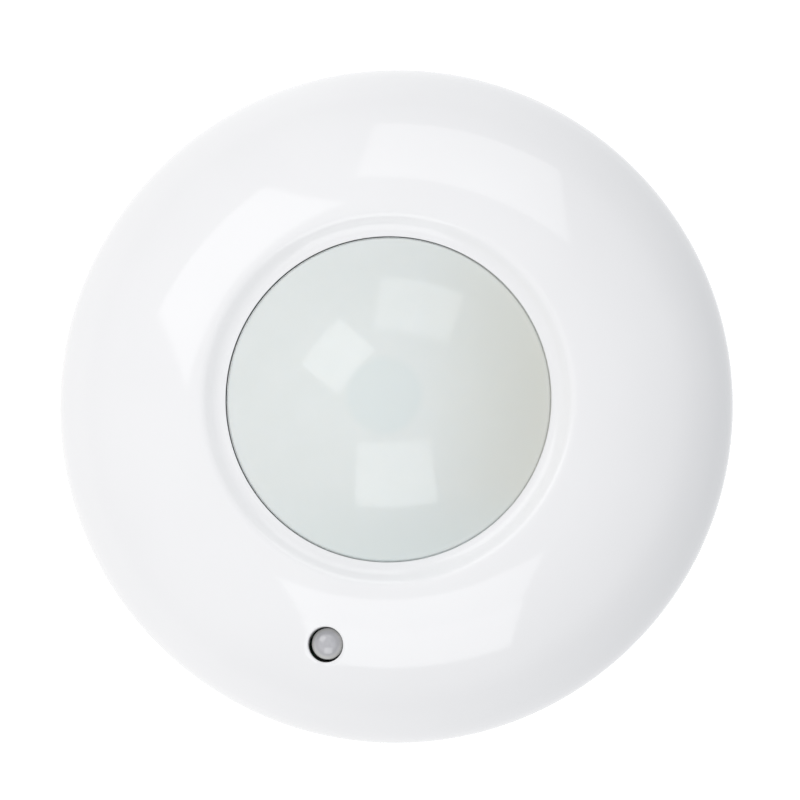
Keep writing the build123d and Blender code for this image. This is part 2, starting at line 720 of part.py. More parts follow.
def terminal_clamps():
    """The plate in each port that grips the wire."""
    high = TERMINAL_Z + TERMINAL_WELL_DEPTH + TERMINAL_PORT_H
    spare = 2 * TERMINAL_CLAMP_SPARE
    plate = slab(
        TERMINAL_PORT_W - spare, TERMINAL_PORT_DEPTH - spare,
        high - TERMINAL_CLAMP_T - TERMINAL_CLAMP_SPARE, high - TERMINAL_CLAMP_SPARE,
    )
    shift = Pos(0, (TERMINAL_DEPTH - TERMINAL_PORT_DEPTH) / 2, 0)
    return Compound([place * shift * plate for place in terminal_places()])


# ---------------------------------------------------------------- tamper switch

def tamper_plunger():
    """The cup that presses the switch while the head is locked on its base."""
    tip_round = Pos(0, 0, PLUNGER_TIP_Z + PLUNGER_R) * Sphere(PLUNGER_R)
    collar_z = SLEEVE_LIP_Z + SLEEVE_LIP_T + PLUNGER_PLAY + TAMPER_TRAVEL
    collar_top = collar_z + PLUNGER_COLLAR_H
    below_round = disc(PLUNGER_R, PLUNGER_TIP_Z, PLUNGER_TIP_Z + PLUNGER_R)
    shank = disc(PLUNGER_R, PLUNGER_TIP_Z, collar_top) - (below_round - tip_round)
    collar = disc(PLUNGER_COLLAR_R, collar_z, collar_top)
    cup = disc(PLUNGER_CUP_R, PLUNGER_TIP_Z + PLUNGER_CUP_FLOOR, collar_top)
    return at(TAMPER_TURN, TAMPER_CIRCLE) * (shank + collar - cup)


def tamper_spring():
    """The small coil spring between the plunger's cup and the switch."""
    low = PLUNGER_TIP_Z + PLUNGER_CUP_FLOOR + SPRING_WIRE_R + SPRING_PLAY
    high = TACT_STEM_Z - SPRING_WIRE_R - SPRING_PLAY
    path = Helix((high - low) / SPRING_TURNS, high - low, SPRING_MEAN_R)
    section = Plane(origin=path @ 0, z_dir=path % 0) * Circle(SPRING_WIRE_R)
    return at(TAMPER_TURN, TAMPER_CIRCLE) * Pos(0, 0, low) * sweep(section, path)


def tamper_switch():
    """The small push switch under the board, its stem facing the plunger."""
    body = slab(TACT_SIDE, TACT_SIDE, TACT_Z, BOARD_Z)
    stem = disc(TACT_STEM_R, TACT_STEM_Z, BOARD_Z)
    return at(TAMPER_TURN, TAMPER_CIRCLE) * (body + stem)


# ---------------------------------------------------------------- adjusters and switches

def trimmer_body(turn):
    """The square body of a trimmer with a round well for its rotor."""
    body = slab(TRIMMER_SIDE, TRIMMER_SIDE, BOARD_TOP, BOARD_TOP + TRIMMER_H)
    well_r = TRIMMER_ROTOR_R + TRIMMER_ROTOR_PLAY
    well = disc(well_r, BOARD_TOP + TRIMMER_ROTOR_FLOOR, BOARD_TOP + TRIMMER_H)
    return at(turn, PARTS_CIRCLE) * (body - well)


def trimmer_rotor(turn):
    """The round rotor with a crossed driver slot."""
    low = BOARD_TOP + TRIMMER_ROTOR_FLOOR + TRIMMER_ROTOR_PLAY
    high = BOARD_TOP + TRIMMER_H + TRIMMER_ROTOR_PROUD
    rotor = disc(TRIMMER_ROTOR_R, low, high)
    slot_z = high - TRIMMER_SLOT_DEPTH
    rotor -= slab(TRIMMER_SLOT_LENGTH, TRIMMER_SLOT_W, slot_z, high)
    rotor -= slab(TRIMMER_SLOT_W, TRIMMER_SLOT_LENGTH, slot_z, high)
    return at(turn, PARTS_CIRCLE) * rotor


def dip_offset(way):
    """Distance of one slider from the middle of its switch block."""
    return (way - (DIP_WAYS - 1) / 2) * DIP_PITCH


def dip_switch_body():
    """The switch block with one slot for each slider."""
    width = DIP_WAYS * DIP_PITCH + 2 * DIP_SIDE
    high = BOARD_TOP + DIP_H
    body = slab(DIP_DEPTH, width, BOARD_TOP, high)
    slot = slab(DIP_SLOT_LENGTH, DIP_SLOT_W, high - DIP_SLOT_DEPTH, high)
    slots = [Pos(0, dip_offset(way), 0) * slot for way in range(DIP_WAYS)]
    return at(DIP_TURN, PARTS_CIRCLE) * (body - slots)


def dip_slider(way):
    """One slider, at the outer end of its slot when on and at the inner end when off."""
    reach = (DIP_SLOT_LENGTH - DIP_SLIDER_LENGTH) / 2 - DIP_END_PLAY
    shift = reach if DIP_ON[way] else -reach
    low = BOARD_TOP + DIP_H - DIP_SLOT_DEPTH + DIP_END_PLAY
    high = BOARD_TOP + DIP_H + DIP_SLIDER_PROUD
    slider = slab(DIP_SLIDER_LENGTH, DIP_SLIDER_W, low, high)
    return at(DIP_TURN, PARTS_CIRCLE) * Pos(shift, dip_offset(way), 0) * slider


def test_switch_body():
    """The square body of the walk-test switch."""
    body = slab(TEST_SIDE, TEST_SIDE, BOARD_TOP, BOARD_TOP + TEST_H)
    well = disc(TEST_STEM_R + TEST_STEM_PLAY, BOARD_TOP + TEST_STEM_FLOOR, BOARD_TOP + TEST_H)
    return at(TEST_TURN, PARTS_CIRCLE) * (body - well)


def test_button():
    """The round button of the walk-test switch, free to sink by its travel."""
    low = BOARD_TOP + TEST_STEM_FLOOR + TEST_TRAVEL + TEST_STEM_PLAY
    high = BOARD_TOP + TEST_H + TEST_STEM_PROUD
    return at(TEST_TURN, PARTS_CIRCLE) * disc(TEST_STEM_R, low, high)


# ---------------------------------------------------------------- fixed electronics

def relay_case():
    """The sealed case of the alarm relay."""
    low = BOARD_TOP + RELAY_LIFT
    return at(RELAY_TURN, PARTS_CIRCLE) * slab(RELAY_X, RELAY_Y, low, low + RELAY_H)


def relay_pins():
    """The relay's feet, four on each side."""
    middle = (RELAY_PINS_A_SIDE - 1) / 2
    foot = slab(RELAY_PIN_W, RELAY_PIN_W, BOARD_TOP, BOARD_TOP + RELAY_LIFT)
    pins = []
    for side in (-1, 1):
        for pin in range(RELAY_PINS_A_SIDE):
            place = Pos(side * (RELAY_X / 2 - RELAY_PIN_W), (pin - middle) * RELAY_PIN_PITCH, 0)
            pins.append(at(RELAY_TURN, PARTS_CIRCLE) * place * foot)
    return Compound(pins)


def capacitor_feet():
    """The square plastic foot under each capacitor."""
    foot = slab(CAPACITOR_FOOT, CAPACITOR_FOOT, BOARD_TOP, BOARD_TOP + CAPACITOR_FOOT_H)
    return Compound([at(turn, PARTS_CIRCLE) * foot for turn in CAPACITOR_TURNS])


def capacitors():
    """The two round capacitor cans."""
    can = disc(CAPACITOR_R, BOARD_TOP + CAPACITOR_FOOT_H, BOARD_TOP + CAPACITOR_H)
    return Compound([at(turn, PARTS_CIRCLE) * can for turn in CAPACITOR_TURNS])


def controller_chip():
    """The controller's plastic body."""
    low = BOARD_TOP + CHIP_LIFT
    return at(CHIP_TURN, PARTS_CIRCLE) * slab(CHIP_X, CHIP_Y, low, low + CHIP_H)


def chip_lead():
    """One bent leg, from the side of the body down to the board."""
    high = BOARD_TOP + CHIP_LIFT + CHIP_H / 2
    arm = Polyline(
        (0, high), (CHIP_LEAD_REACH / 2, high), (CHIP_LEAD_REACH / 2, BOARD_TOP + CHIP_LEAD_T),
        (CHIP_LEAD_REACH, BOARD_TOP + CHIP_LEAD_T), (CHIP_LEAD_REACH, BOARD_TOP),
        (CHIP_LEAD_REACH / 2 - CHIP_LEAD_T, BOARD_TOP),
        (CHIP_LEAD_REACH / 2 - CHIP_LEAD_T, high - CHIP_LEAD_T), (0, high - CHIP_LEAD_T), close=True,
    )
    return extrude(make_face(Plane.XZ * arm), CHIP_LEAD_W / 2, both=True)


def chip_leads():
    """The controller's legs, seven on each side."""
    middle = (CHIP_LEADS_A_SIDE - 1) / 2
    legs = []
    for side in (0, 180):
        for leg in range(CHIP_LEADS_A_SIDE):
            place = Rot(0, 0, side) * Pos(CHIP_X / 2, (leg - middle) * CHIP_LEAD_PITCH, 0)
            legs.append(at(CHIP_TURN, PARTS_CIRCLE) * place * chip_lead())
    return Compound(legs)


def voltage_regulator():
    """The regulator's plastic body."""
    body = slab(REGULATOR_X, REGULATOR_Y, BOARD_TOP, BOARD_TOP + REGULATOR_H)
    return at(REGULATOR_TURN, PARTS_CIRCLE) * body


def regulator_tab():
    """The metal tab soldered to the board behind the regulator."""
    tab = slab(REGULATOR_TAB_X, REGULATOR_TAB_Y, BOARD_TOP, BOARD_TOP + REGULATOR_H / 2)
    place = Pos((REGULATOR_X + REGULATOR_TAB_X) / 2, 0, 0)
    return at(REGULATOR_TURN, PARTS_CIRCLE) * place * tab


def jumper_header():
    """The plastic foot of the two-pin jumper."""
    foot = slab(JUMPER_PITCH, 2 * JUMPER_PITCH, BOARD_TOP, BOARD_TOP + JUMPER_BASE_H)
    hole = slab(JUMPER_PIN_W, JUMPER_PIN_W, BOARD_TOP, BOARD_TOP + JUMPER_BASE_H)
    holes = [Pos(0, side * JUMPER_PITCH / 2, 0) * hole for side in (-1, 1)]
    return at(JUMPER_TURN, PARTS_CIRCLE) * (foot - holes)


def jumper_pins():
    """The jumper's two square pins."""
    pin = slab(JUMPER_PIN_W, JUMPER_PIN_W, BOARD_TOP, BOARD_TOP + JUMPER_PIN_H)
    pins = [Pos(0, side * JUMPER_PITCH / 2, 0) * pin for side in (-1, 1)]
    return Compound([at(JUMPER_TURN, PARTS_CIRCLE) * pin for pin in pins])


def jumper_cap():
    """The small plug that bridges the two pins."""
    low = BOARD_TOP + JUMPER_BASE_H + JUMPER_PLAY
    body = slab(JUMPER_PITCH, 2 * JUMPER_PITCH, low, low + JUMPER_CAP_H + JUMPER_PLAY)
    side = JUMPER_PIN_W + 2 * JUMPER_PLAY
    hole = slab(side, side, low, low + JUMPER_CAP_H + 2 * JUMPER_PLAY)
    holes = [Pos(0, way * JUMPER_PITCH / 2, 0) * hole for way in (-1, 1)]
    return at(JUMPER_TURN, PARTS_CIRCLE) * (body - holes)


def passive_places():
    """Short radial rows of small parts."""
    places = []
    for turn, count in PASSIVE_ROWS.items():
        for index in range(count):
            shift = (index - (count - 1) / 2) * PASSIVE_PITCH
            places.append(at(turn, PARTS_CIRCLE + shift))
    return places


def chip_passives():
    """The small resistors and capacitors, without their metal ends."""
    body = slab(PASSIVE_X, PASSIVE_Y - 2 * PASSIVE_CAP_Y, BOARD_TOP, BOARD_TOP + PASSIVE_H)
    return Compound([place * body for place in passive_places()])


def passive_ends():
    """The metal ends of the small parts."""
    end = slab(PASSIVE_X, PASSIVE_CAP_Y, BOARD_TOP, BOARD_TOP + PASSIVE_H)
    shift = (PASSIVE_Y - PASSIVE_CAP_Y) / 2
    ends = [Pos(0, side * shift, 0) * end for side in (-1, 1)]
    return Compound([place * end for place in passive_places() for end in ends])


# ---------------------------------------------------------------- all pieces

PARTS = {
    "mounting_base": mounting_base(),
    "rear_housing": rear_housing(),
    "circuit_board": circuit_board(),
    "board_screws": board_screws(),
    "lens_holder": lens_holder(),
    "lens_seal": lens_seal(),
    "lens": lens(),
    "lens_ring": lens_ring(),
    "pir_header": pir_header(),
    "pir_can": pir_can(),
    "pir_window": pir_window(),
    "pir_leads": pir_leads(),
    "status_led": status_led(),
    "led_leads": led_leads(),
    "terminal_block": terminal_block(),
    "terminal_screws": terminal_screws(),
    "terminal_clamps": terminal_clamps(),
    "tamper_plunger": tamper_plunger(),
    "tamper_spring": tamper_spring(),
    "tamper_switch": tamper_switch(),
    "dip_switch_body": dip_switch_body(),
    "test_switch_body": test_switch_body(),
    "test_button": test_button(),
    "relay_case": relay_case(),
    "relay_pins": relay_pins(),
    "capacitor_feet": capacitor_feet(),
    "capacitors": capacitors(),
    "controller_chip": controller_chip(),
    "chip_leads": chip_leads(),
    "voltage_regulator": voltage_regulator(),
    "regulator_tab": regulator_tab(),
    "jumper_header": jumper_header(),
    "jumper_pins": jumper_pins(),
    "jumper_cap": jumper_cap(),
    "chip_passives": chip_passives(),
    "passive_ends": passive_ends(),
    "front_cover": front_cover(),
}
for name, turn in TRIMMER_TURNS.items():
    PARTS[f"{name}_trimmer_body"] = trimmer_body(turn)
    PARTS[f"{name}_trimmer_rotor"] = trimmer_rotor(turn)
for way in range(DIP_WAYS):
    PARTS[f"dip_slider_{way + 1}"] = dip_slider(way)

os.makedirs("parts", exist_ok=True)
for name, shape in PARTS.items():
    export_step(shape, f"parts/{name}.step")
print(len(PARTS), "parts written")
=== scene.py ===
import math

import bmesh
import bpy
from mathutils import Matrix, Vector


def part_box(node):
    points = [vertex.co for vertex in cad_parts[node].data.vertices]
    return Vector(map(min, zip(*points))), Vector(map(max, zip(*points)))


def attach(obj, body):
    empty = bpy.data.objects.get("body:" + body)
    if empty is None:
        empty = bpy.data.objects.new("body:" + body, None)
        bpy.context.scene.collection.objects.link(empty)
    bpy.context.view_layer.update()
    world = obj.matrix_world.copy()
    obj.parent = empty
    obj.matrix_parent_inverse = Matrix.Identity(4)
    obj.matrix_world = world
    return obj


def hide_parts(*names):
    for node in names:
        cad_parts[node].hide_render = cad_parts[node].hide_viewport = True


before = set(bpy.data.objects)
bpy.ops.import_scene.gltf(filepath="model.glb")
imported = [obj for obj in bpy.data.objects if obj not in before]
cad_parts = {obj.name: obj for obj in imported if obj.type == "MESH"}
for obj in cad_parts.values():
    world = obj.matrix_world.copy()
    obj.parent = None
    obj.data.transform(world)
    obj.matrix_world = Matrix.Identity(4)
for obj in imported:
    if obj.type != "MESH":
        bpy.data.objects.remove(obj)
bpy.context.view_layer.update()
MM = 0.001

# ---- the cover's sizes, in millimetres, as the frame has them ----
COVER_LOW, COVER_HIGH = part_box("front_cover")
COVER_R = 55.0
COVER_WALL = 2.2
COVER_EDGE_Z = COVER_LOW.z / MM
SHOULDER_Z = 2.0
CREST_Z = COVER_HIGH.z / MM
CREST_ROUND = 2.0
CREST_SLOPE = math.radians(8.0)
SHOULDER_SLOPE = math.radians(32.0)
RECESS_SLOPE = math.radians(35.0)
RECESS_DEPTH = 1.5
LAND_WIDTH = 1.4
LAND_WALL = 1.8
LAND_Z = CREST_Z - RECESS_DEPTH

# ---- the lens ----
LENS_LOW, LENS_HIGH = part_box("lens")
FLANGE_R = LENS_HIGH.x / MM
FLANGE_REACH = 2.05
FLANGE_T = 0.8
LENS_R = FLANGE_R - FLANGE_REACH
LENS_GAP = 0.2
LENS_WALL = 0.9
LENS_RISE = 10.5
LENS_CROWN = LENS_HIGH.z / MM
LENS_FOOT = LENS_LOW.z / MM
LENS_ROUND = 0.5
LENS_SHIFT = (0.085, -0.045)
LENS_STEP = 0.10          # the lens wall is this much thicker below the step
LENS_STEP_DEPTH = 0.2     # the step's depth below the land
HOLE_R = LENS_R + LENS_GAP
LENS_STEPS = 44           # rings on the outside of the dome
LENS_FINE_STEPS = 100     # rings on the grooved inside
LENS_ROUND_STEPS = 6
FLANGE_EDGE = 0.2
FLANGE_FOOT_EDGE = 0.1
# colours: the two that it mottles between, the middle lenslet, the painted shade towards +X, and the tint
# towards -Y
LENS_TINTS = ((0.738, 0.774, 0.763), (0.752, 0.786, 0.777))
LENS_MIDDLE_TINT = (0.712, 0.763, 0.758)
LENS_PAINTED_SHADE_TINT = (0.735, 0.745, 0.69)
LENS_LOWER_TINT = (0.70, 0.755, 0.745)
LENSLET_RINGS = ((0.0, 6.2, 1), (6.2, 14.4, 6), (14.4, 25.4, 12))   # from, to, lenslets round the ring
GROOVE_PITCH = 0.9
GROOVE_DEPTH = 0.16
LAND_R = HOLE_R + LAND_WIDTH
ROLL_Z = CREST_Z - CREST_ROUND * (1 - math.cos(RECESS_SLOPE))
ROLL_R = LAND_R + (ROLL_Z - LAND_Z) / math.tan(RECESS_SLOPE)
CREST_R = ROLL_R + CREST_ROUND * math.sin(RECESS_SLOPE)

# ---- the status light ----
LED_LOW, LED_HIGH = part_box("status_led")
LED_MID = (LED_LOW + LED_HIGH) / 2 / MM
LED_TURN = 255.5
LED_CIRCLE = 40.9
LED_R = 2.5
LED_HOLE_R = 2.85
LED_COLLAR_R = 3.95
LED_TOP = LED_HIGH.z / MM
LED_FOOT = LED_LOW.z / MM
LED_COLLAR_Z = LED_TOP - 4.0
LED_SPARE = 0.07          # the body is this much wider than its nominal radius
LED_FLANGE_REACH = 0.4
LED_FLANGE_T = 1.0
LED_DOME = 1.55           # height of the rounded top
LED_SEGMENTS = 96
LED_DOME_STEPS = 28

# ---- the sockets under the cover ----
POST_TURNS = (75.0, 195.0, 315.0)
POST_CIRCLE = 44.0
BOSS_R = 3.0
BOSS_BORE_R = 1.62
BOSS_Z = 9.6
BOSS_BORE_TOP = 14.9

# ---- meshing, in millimetres where it is a length ----
SEGMENTS = 288            # columns round the axis
EDGE_ROUND = 0.25
HOLE_ROUND = 0.14         # the edge of the lens hole
RECESS_BEND = 3.4         # the radius between the land and the recess
SHARP = math.radians(38)  # edges that turn more than this stay sharp
MERGE = 0.0005
ROW_STEP = 0.868          # radial spacing of the rows that the holes are set into
ROW_FIRST = 35.7
ROW_COUNT = 16
CREST_STEPS = 6
SHOULDER_STEPS = 20
LED_ROWS = (0, 12)        # the block of rows and columns that the light's hole is set into
LED_COLUMNS = 6
BOSS_ROWS = (5, 14)       # the same for each socket
BOSS_COLUMNS = 5

# ---- small parts ----
TRACK_PITCH = 1.05        # board tracks
PAD_LIFT = 0.06           # how far a solder pad stands above the board
PAD_EDGE = 0.05
PAD_REACH = 0.3           # leads that end within this of the board get a pad
CAN_EDGE = 0.35
CAN_SEGMENTS = 72
MARK_LIFT = 0.03
MARK_HALF_ANGLE = 62
MARK_STEPS = 24

# ---- floor, lights and camera ----
FLOOR_GLOW = 0.5
LIGHT_REACH = 1.2         # metres from the sensor to each softbox
# polar angle from the lens axis, azimuth from +X, width across, height along, roll (degrees), brightness
SOFTBOXES = {
    "softbox_left": (36.0, 139.5, 27.5, 25.0, 0.0, 1.60),
    "softbox_top": (50.0, 76.5, 35.5, 28.5, 4.0, 1.22),
    "softbox_below_near": (27.0, 271.5, 36.0, 15.0, 0.0, 1.42),
    "softbox_below_far": (43.5, 271.5, 37.0, 18.0, 0.0, 1.8),
}
BRIGHT_SIDE = (-0.99, 0.10, 0.0)
SIDE_STRENGTH = (0.51, 0.82)     # the surround's strength on its dark and its bright side
BELOW_STRENGTH = 1.42            # how much stronger it is below the horizon
VIEW_TILT = math.radians(4.9)    # the camera's angle off the lens axis
VIEW_TURN = math.radians(-42.3)  # and the side that it leans to
VIEW_REACH = 2.2                 # metres
SENSOR_WIDTH = 36.0
FRAME_SHARE = 0.8425             # the cover's share of the picture's width
AIM_SHIFT = (0.0050, 0.0077)     # the lens shift that puts the sensor in its place in the frame


# ---------------------------------------------------------------- materials

def principled(name):
    """A new node material: the material, its node tree and its shader node."""
    made = bpy.data.materials.new(name)
    made.use_nodes = True
    tree = made.node_tree
    return made, tree, tree.nodes["Principled BSDF"]


def coordinates(tree, stretch=(1, 1, 1), turn=(0, 0, 0)):
    """Object-space coordinates in millimetres, stretched along the axes."""
    source = tree.nodes.new("ShaderNodeTexCoord")
    scale = tree.nodes.new("ShaderNodeMapping")
    scale.inputs["Scale"].default_value = [s / MM for s in stretch]
    scale.inputs["Rotation"].default_value = turn
    tree.links.new(source.outputs["Object"], scale.inputs["Vector"])
    return scale.outputs["Vector"]


def noise(tree, where, size, detail=2.0, rough=0.5):
    """Noise whose blotches are about size millimetres across."""
    made = tree.nodes.new("ShaderNodeTexNoise")
    made.inputs["Scale"].default_value = 1 / size
    made.inputs["Detail"].default_value = detail
    made.inputs["Roughness"].default_value = rough
    tree.links.new(where, made.inputs["Vector"])
    return made.outputs["Fac"]


def spread(tree, value, low, high, start=0.3, end=0.7):
    """A value remapped from start..end to low..high."""
    made = tree.nodes.new("ShaderNodeMapRange")
    for key, number in (("From Min", start), ("From Max", end), ("To Min", low), ("To Max", high)):
        made.inputs[key].default_value = number
    tree.links.new(value, made.inputs["Value"])
    return made.outputs["Result"]


def blend_colours(tree, factor, first, second):
    """A mix of two colours by a factor."""
    made = tree.nodes.new("ShaderNodeMix")
    made.data_type = "RGBA"
    for socket, colour in ((made.inputs[6], first), (made.inputs[7], second)):
        if isinstance(colour, bpy.types.NodeSocket):
            tree.links.new(colour, socket)
        else:
            socket.default_value = (*colour, 1)
    tree.links.new(factor, made.inputs[0])
    return made.outputs[2]


def combine(tree, operation, first, second):
    """Arithmetic on two values."""
    made = tree.nodes.new("ShaderNodeMath")
    made.operation = operation
    for socket, value in zip(made.inputs, (first, second)):
        if isinstance(value, bpy.types.NodeSocket):
            tree.links.new(value, socket)
        else:
            socket.default_value = value
    return made.outputs[0]


def bump(tree, shader, height, depth):
    """Raises the surface by depth millimetres where height is 1."""
    made = tree.nodes.new("ShaderNodeBump")
    made.inputs["Distance"].default_value = depth * MM
    made.inputs["Strength"].default_value = 1.0
    tree.links.new(height, made.inputs["Height"])
    tree.links.new(made.outputs["Normal"], shader.inputs["Normal"])


def tint(colour, factor):
    """A colour made lighter or darker."""
    return tuple(min(1.0, c * factor) for c in colour)


def plastic(name, colour, rough=0.4, grain=0.25, depth=0.004, mottle=0.04, **values):
    """Moulded plastic: slightly uneven colour and gloss, and a fine grain."""
    made, tree, shader = principled(name)
    where = coordinates(tree)
    cloud = noise(tree, where, 7.0, 3)
    even = spread(tree, cloud, 0, 1)
    tree.links.new(blend_colours(tree, even, tint(colour, 1 - mottle), tint(colour, 1 + mottle)),
                   shader.inputs["Base Color"])
    streak = noise(tree, where, 2.2, 4)
    tree.links.new(spread(tree, streak, rough * 0.88, rough * 1.12), shader.inputs["Roughness"])
    bump(tree, shader, noise(tree, where, grain, 2), depth)
    for key, value in values.items():
        shader.inputs[key.replace("_", " ")].default_value = value
    return made


def metal(name, colour, rough=0.3, stretch=(1, 1, 12), depth=0.002):
    """Plated or drawn metal with fine directional marks."""
    made, tree, shader = principled(name)
    where = coordinates(tree, stretch)
    marks = noise(tree, where, 0.5, 5, 0.6)
    even = spread(tree, marks, 0, 1)
    tree.links.new(blend_colours(tree, even, tint(colour, 0.88), tint(colour, 1.08)),
                   shader.inputs["Base Color"])
    tree.links.new(spread(tree, marks, rough * 0.75, rough * 1.3), shader.inputs["Roughness"])
    shader.inputs["Metallic"].default_value = 1.0
    bump(tree, shader, marks, depth)
    return made


def cover_material():
    """Glossy white ABS: a faint orange peel, slight unevenness in gloss, a cool tint."""
    made, tree, shader = principled("cover_gloss_white")
    where = coordinates(tree)
    cloud = spread(tree, noise(tree, where, 22.0, 2), 0, 1)
    tree.links.new(blend_colours(tree, cloud, (0.857, 0.857, 0.870), (0.872, 0.872, 0.885)),
                   shader.inputs["Base Color"])
    haze = noise(tree, where, 9.0, 4)
    tree.links.new(spread(tree, haze, 0.05, 0.09), shader.inputs["Roughness"])
    shader.inputs["IOR"].default_value = 1.47
    bump(tree, shader, noise(tree, where, 3.2, 1), 0.0035)
    return made


def lens_material():
    """Milky lens plastic: greenish, bluer over the middle lenslet, with painted shade making it darker and
    olive towards +X.
    """
    made, tree, shader = principled("lens_milky")
    where = coordinates(tree)
    cloud = spread(tree, noise(tree, where, 6.0, 3), 0, 1)
    base = blend_colours(tree, cloud, *LENS_TINTS)
    reach = radius_from(tree, where)
    middle = spread(tree, reach, 1, 0, 5.4, 6.8)
    base = blend_colours(tree, middle, base, LENS_MIDDLE_TINT)
    split = tree.nodes.new("ShaderNodeSeparateXYZ")
    tree.links.new(where, split.inputs[0])
    # painted shade: the lens turns darker and olive towards the +X edge, where the surround is dark
    base = blend_colours(tree, spread(tree, split.outputs["X"], 0, 1, 6.0, 26.0), base, LENS_PAINTED_SHADE_TINT)
    base = blend_colours(tree, spread(tree, split.outputs["Y"], 1, 0, -27.0, -14.0), base, LENS_LOWER_TINT)
    tree.links.new(base, shader.inputs["Base Color"])
    tree.links.new(spread(tree, noise(tree, where, 5.0, 3), 0.07, 0.11), shader.inputs["Roughness"])
    shader.inputs["IOR"].default_value = 1.52
    shader.inputs["Subsurface Weight"].default_value = 0.35
    shader.inputs["Subsurface Radius"].default_value = (1.0, 0.9, 0.8)
    shader.inputs["Subsurface Scale"].default_value = 1.5 * MM
    bump(tree, shader, noise(tree, where, 2.6, 2), 0.004)
    return made


def led_material():
    """Grey-tinted epoxy: a painted highlight of the pale surroundings round the rim, a darker ring, and the
    cup showing through the middle.
    """
    made, tree, shader = principled("led_epoxy")
    where = coordinates(tree)
    offset = tree.nodes.new("ShaderNodeVectorMath")
    offset.operation = "SUBTRACT"
    offset.inputs[1].default_value = (LED_MID.x, LED_MID.y, 0)
    tree.links.new(where, offset.inputs[0])
    reach = radius_from(tree, offset.outputs[0])
    # painted highlight: the rim is lightened as if the steep edge of the dome caught the pale surroundings
    rim = spread(tree, reach, 0, 1, 1.9, 2.2)
    ring = combine(tree, "MULTIPLY", spread(tree, reach, 0, 1, 1.2, 1.7),
                   spread(tree, reach, 1, 0, 1.7, 2.1))
    cloud = spread(tree, noise(tree, where, 1.1, 3), 0, 1)
    core = blend_colours(tree, cloud, (0.43, 0.43, 0.455), (0.50, 0.50, 0.525))
    core = blend_colours(tree, ring, core, (0.41, 0.41, 0.43))
    # the lighter colour here is the rim's painted highlight
    tree.links.new(blend_colours(tree, rim, core, (0.50, 0.50, 0.49)), shader.inputs["Base Color"])
    tree.links.new(spread(tree, noise(tree, where, 0.8, 2), 0.14, 0.2), shader.inputs["Roughness"])
    shader.inputs["IOR"].default_value = 1.56
    shader.inputs["Coat Weight"].default_value = 1.0
    shader.inputs["Coat Roughness"].default_value = 0.1
    return made


def radius_from(tree, where):
    """Distance from the vertical axis through the origin of the coordinates."""
    flat = tree.nodes.new("ShaderNodeVectorMath")
    flat.operation = "MULTIPLY"
    flat.inputs[1].default_value = (1, 1, 0)
    tree.links.new(where, flat.inputs[0])
    reach = tree.nodes.new("ShaderNodeVectorMath")
    reach.operation = "LENGTH"
    tree.links.new(flat.outputs[0], reach.inputs[0])
    return reach.outputs["Value"]


def facing_up(tree, start=0.6, end=0.8):
    """1 on faces that look straight up or down, 0 on upright faces."""
    own = tree.nodes.new("ShaderNodeNewGeometry")
    split = tree.nodes.new("ShaderNodeSeparateXYZ")
    tree.links.new(own.outputs["True Normal"], split.inputs[0])
    level = combine(tree, "ABSOLUTE", split.outputs["Z"], 0.0)
    return spread(tree, level, 0, 1, start, end)


def cells(tree, where, size, kind="Color", randomness=1.0, feature="F1"):
    """Voronoi cells about size millimetres across."""
    made = tree.nodes.new("ShaderNodeTexVoronoi")
    made.feature = feature
    made.inputs["Scale"].default_value = 1 / size
    made.inputs["Randomness"].default_value = randomness
    tree.links.new(where, made.inputs["Vector"])
    return made.outputs[kind]


def board_material():
    """Solder mask over copper tracks that change direction from patch to patch, with tinned vias."""
    made, tree, shader = principled("board_green")
    where = coordinates(tree)
    patch = cells(tree, where, 5.5)
    pick = tree.nodes.new("ShaderNodeSeparateXYZ")
    tree.links.new(patch, pick.inputs[0])
    runs = []
    for turn in (0.0, 90.0, 45.0):
        along = coordinates(tree, turn=(0, 0, math.radians(turn)))
        split = tree.nodes.new("ShaderNodeSeparateXYZ")
        tree.links.new(along, split.inputs[0])
        beat = combine(tree, "PINGPONG", combine(tree, "DIVIDE", split.outputs["X"], TRACK_PITCH), 0.5)
        runs.append(spread(tree, beat, 1, 0, 0.2, 0.26))
    first = spread(tree, pick.outputs["X"], 0, 1, 0.42, 0.43)
    second = spread(tree, pick.outputs["X"], 0, 1, 0.78, 0.79)
    tracks = mix_values(tree, first, runs[0], runs[1])
    tracks = mix_values(tree, second, tracks, runs[2])
    poured = spread(tree, pick.outputs["Y"], 0, 1, 0.66, 0.67)
    copper = combine(tree, "MAXIMUM", tracks, poured)
    via_here = spread(tree, cells(tree, where, 3.1, "Distance", 0.8), 1, 0, 0.13, 0.15)
    via_hole = spread(tree, cells(tree, where, 3.1, "Distance", 0.8), 1, 0, 0.06, 0.07)
    green = blend_colours(tree, copper, (0.008, 0.085, 0.034), (0.024, 0.205, 0.078))
    tinned = blend_colours(tree, via_here, green, (0.62, 0.60, 0.52))
    drilled = blend_colours(tree, via_hole, tinned, (0.02, 0.05, 0.03))
    layers = coordinates(tree, (1, 1, 14))
    weave = spread(tree, noise(tree, layers, 2.0, 3), 0, 1)
    glass = blend_colours(tree, weave, (0.42, 0.44, 0.22), (0.56, 0.55, 0.32))
    level = facing_up(tree)
    tree.links.new(blend_colours(tree, level, glass, drilled), shader.inputs["Base Color"])
    tree.links.new(spread(tree, noise(tree, where, 4.0, 3), 0.22, 0.34), shader.inputs["Roughness"])
    tree.links.new(combine(tree, "MULTIPLY", via_here, level), shader.inputs["Metallic"])
    bump(tree, shader, combine(tree, "SUBTRACT", copper, via_hole), 0.05)
    return made


def mix_values(tree, factor, first, second):
    """A mix of two values by a factor."""
    made = tree.nodes.new("ShaderNodeMix")
    tree.links.new(factor, made.inputs[0])
    tree.links.new(first, made.inputs[2])
    tree.links.new(second, made.inputs[3])
    return made.outputs[0]


# ---------------------------------------------------------------- mesh helpers

def place(turn, circle, z=0.0):
    """A point on a circle about the Z axis, in millimetres."""
    angle = math.radians(turn)
    return Vector((circle * math.cos(angle), circle * math.sin(angle), z))


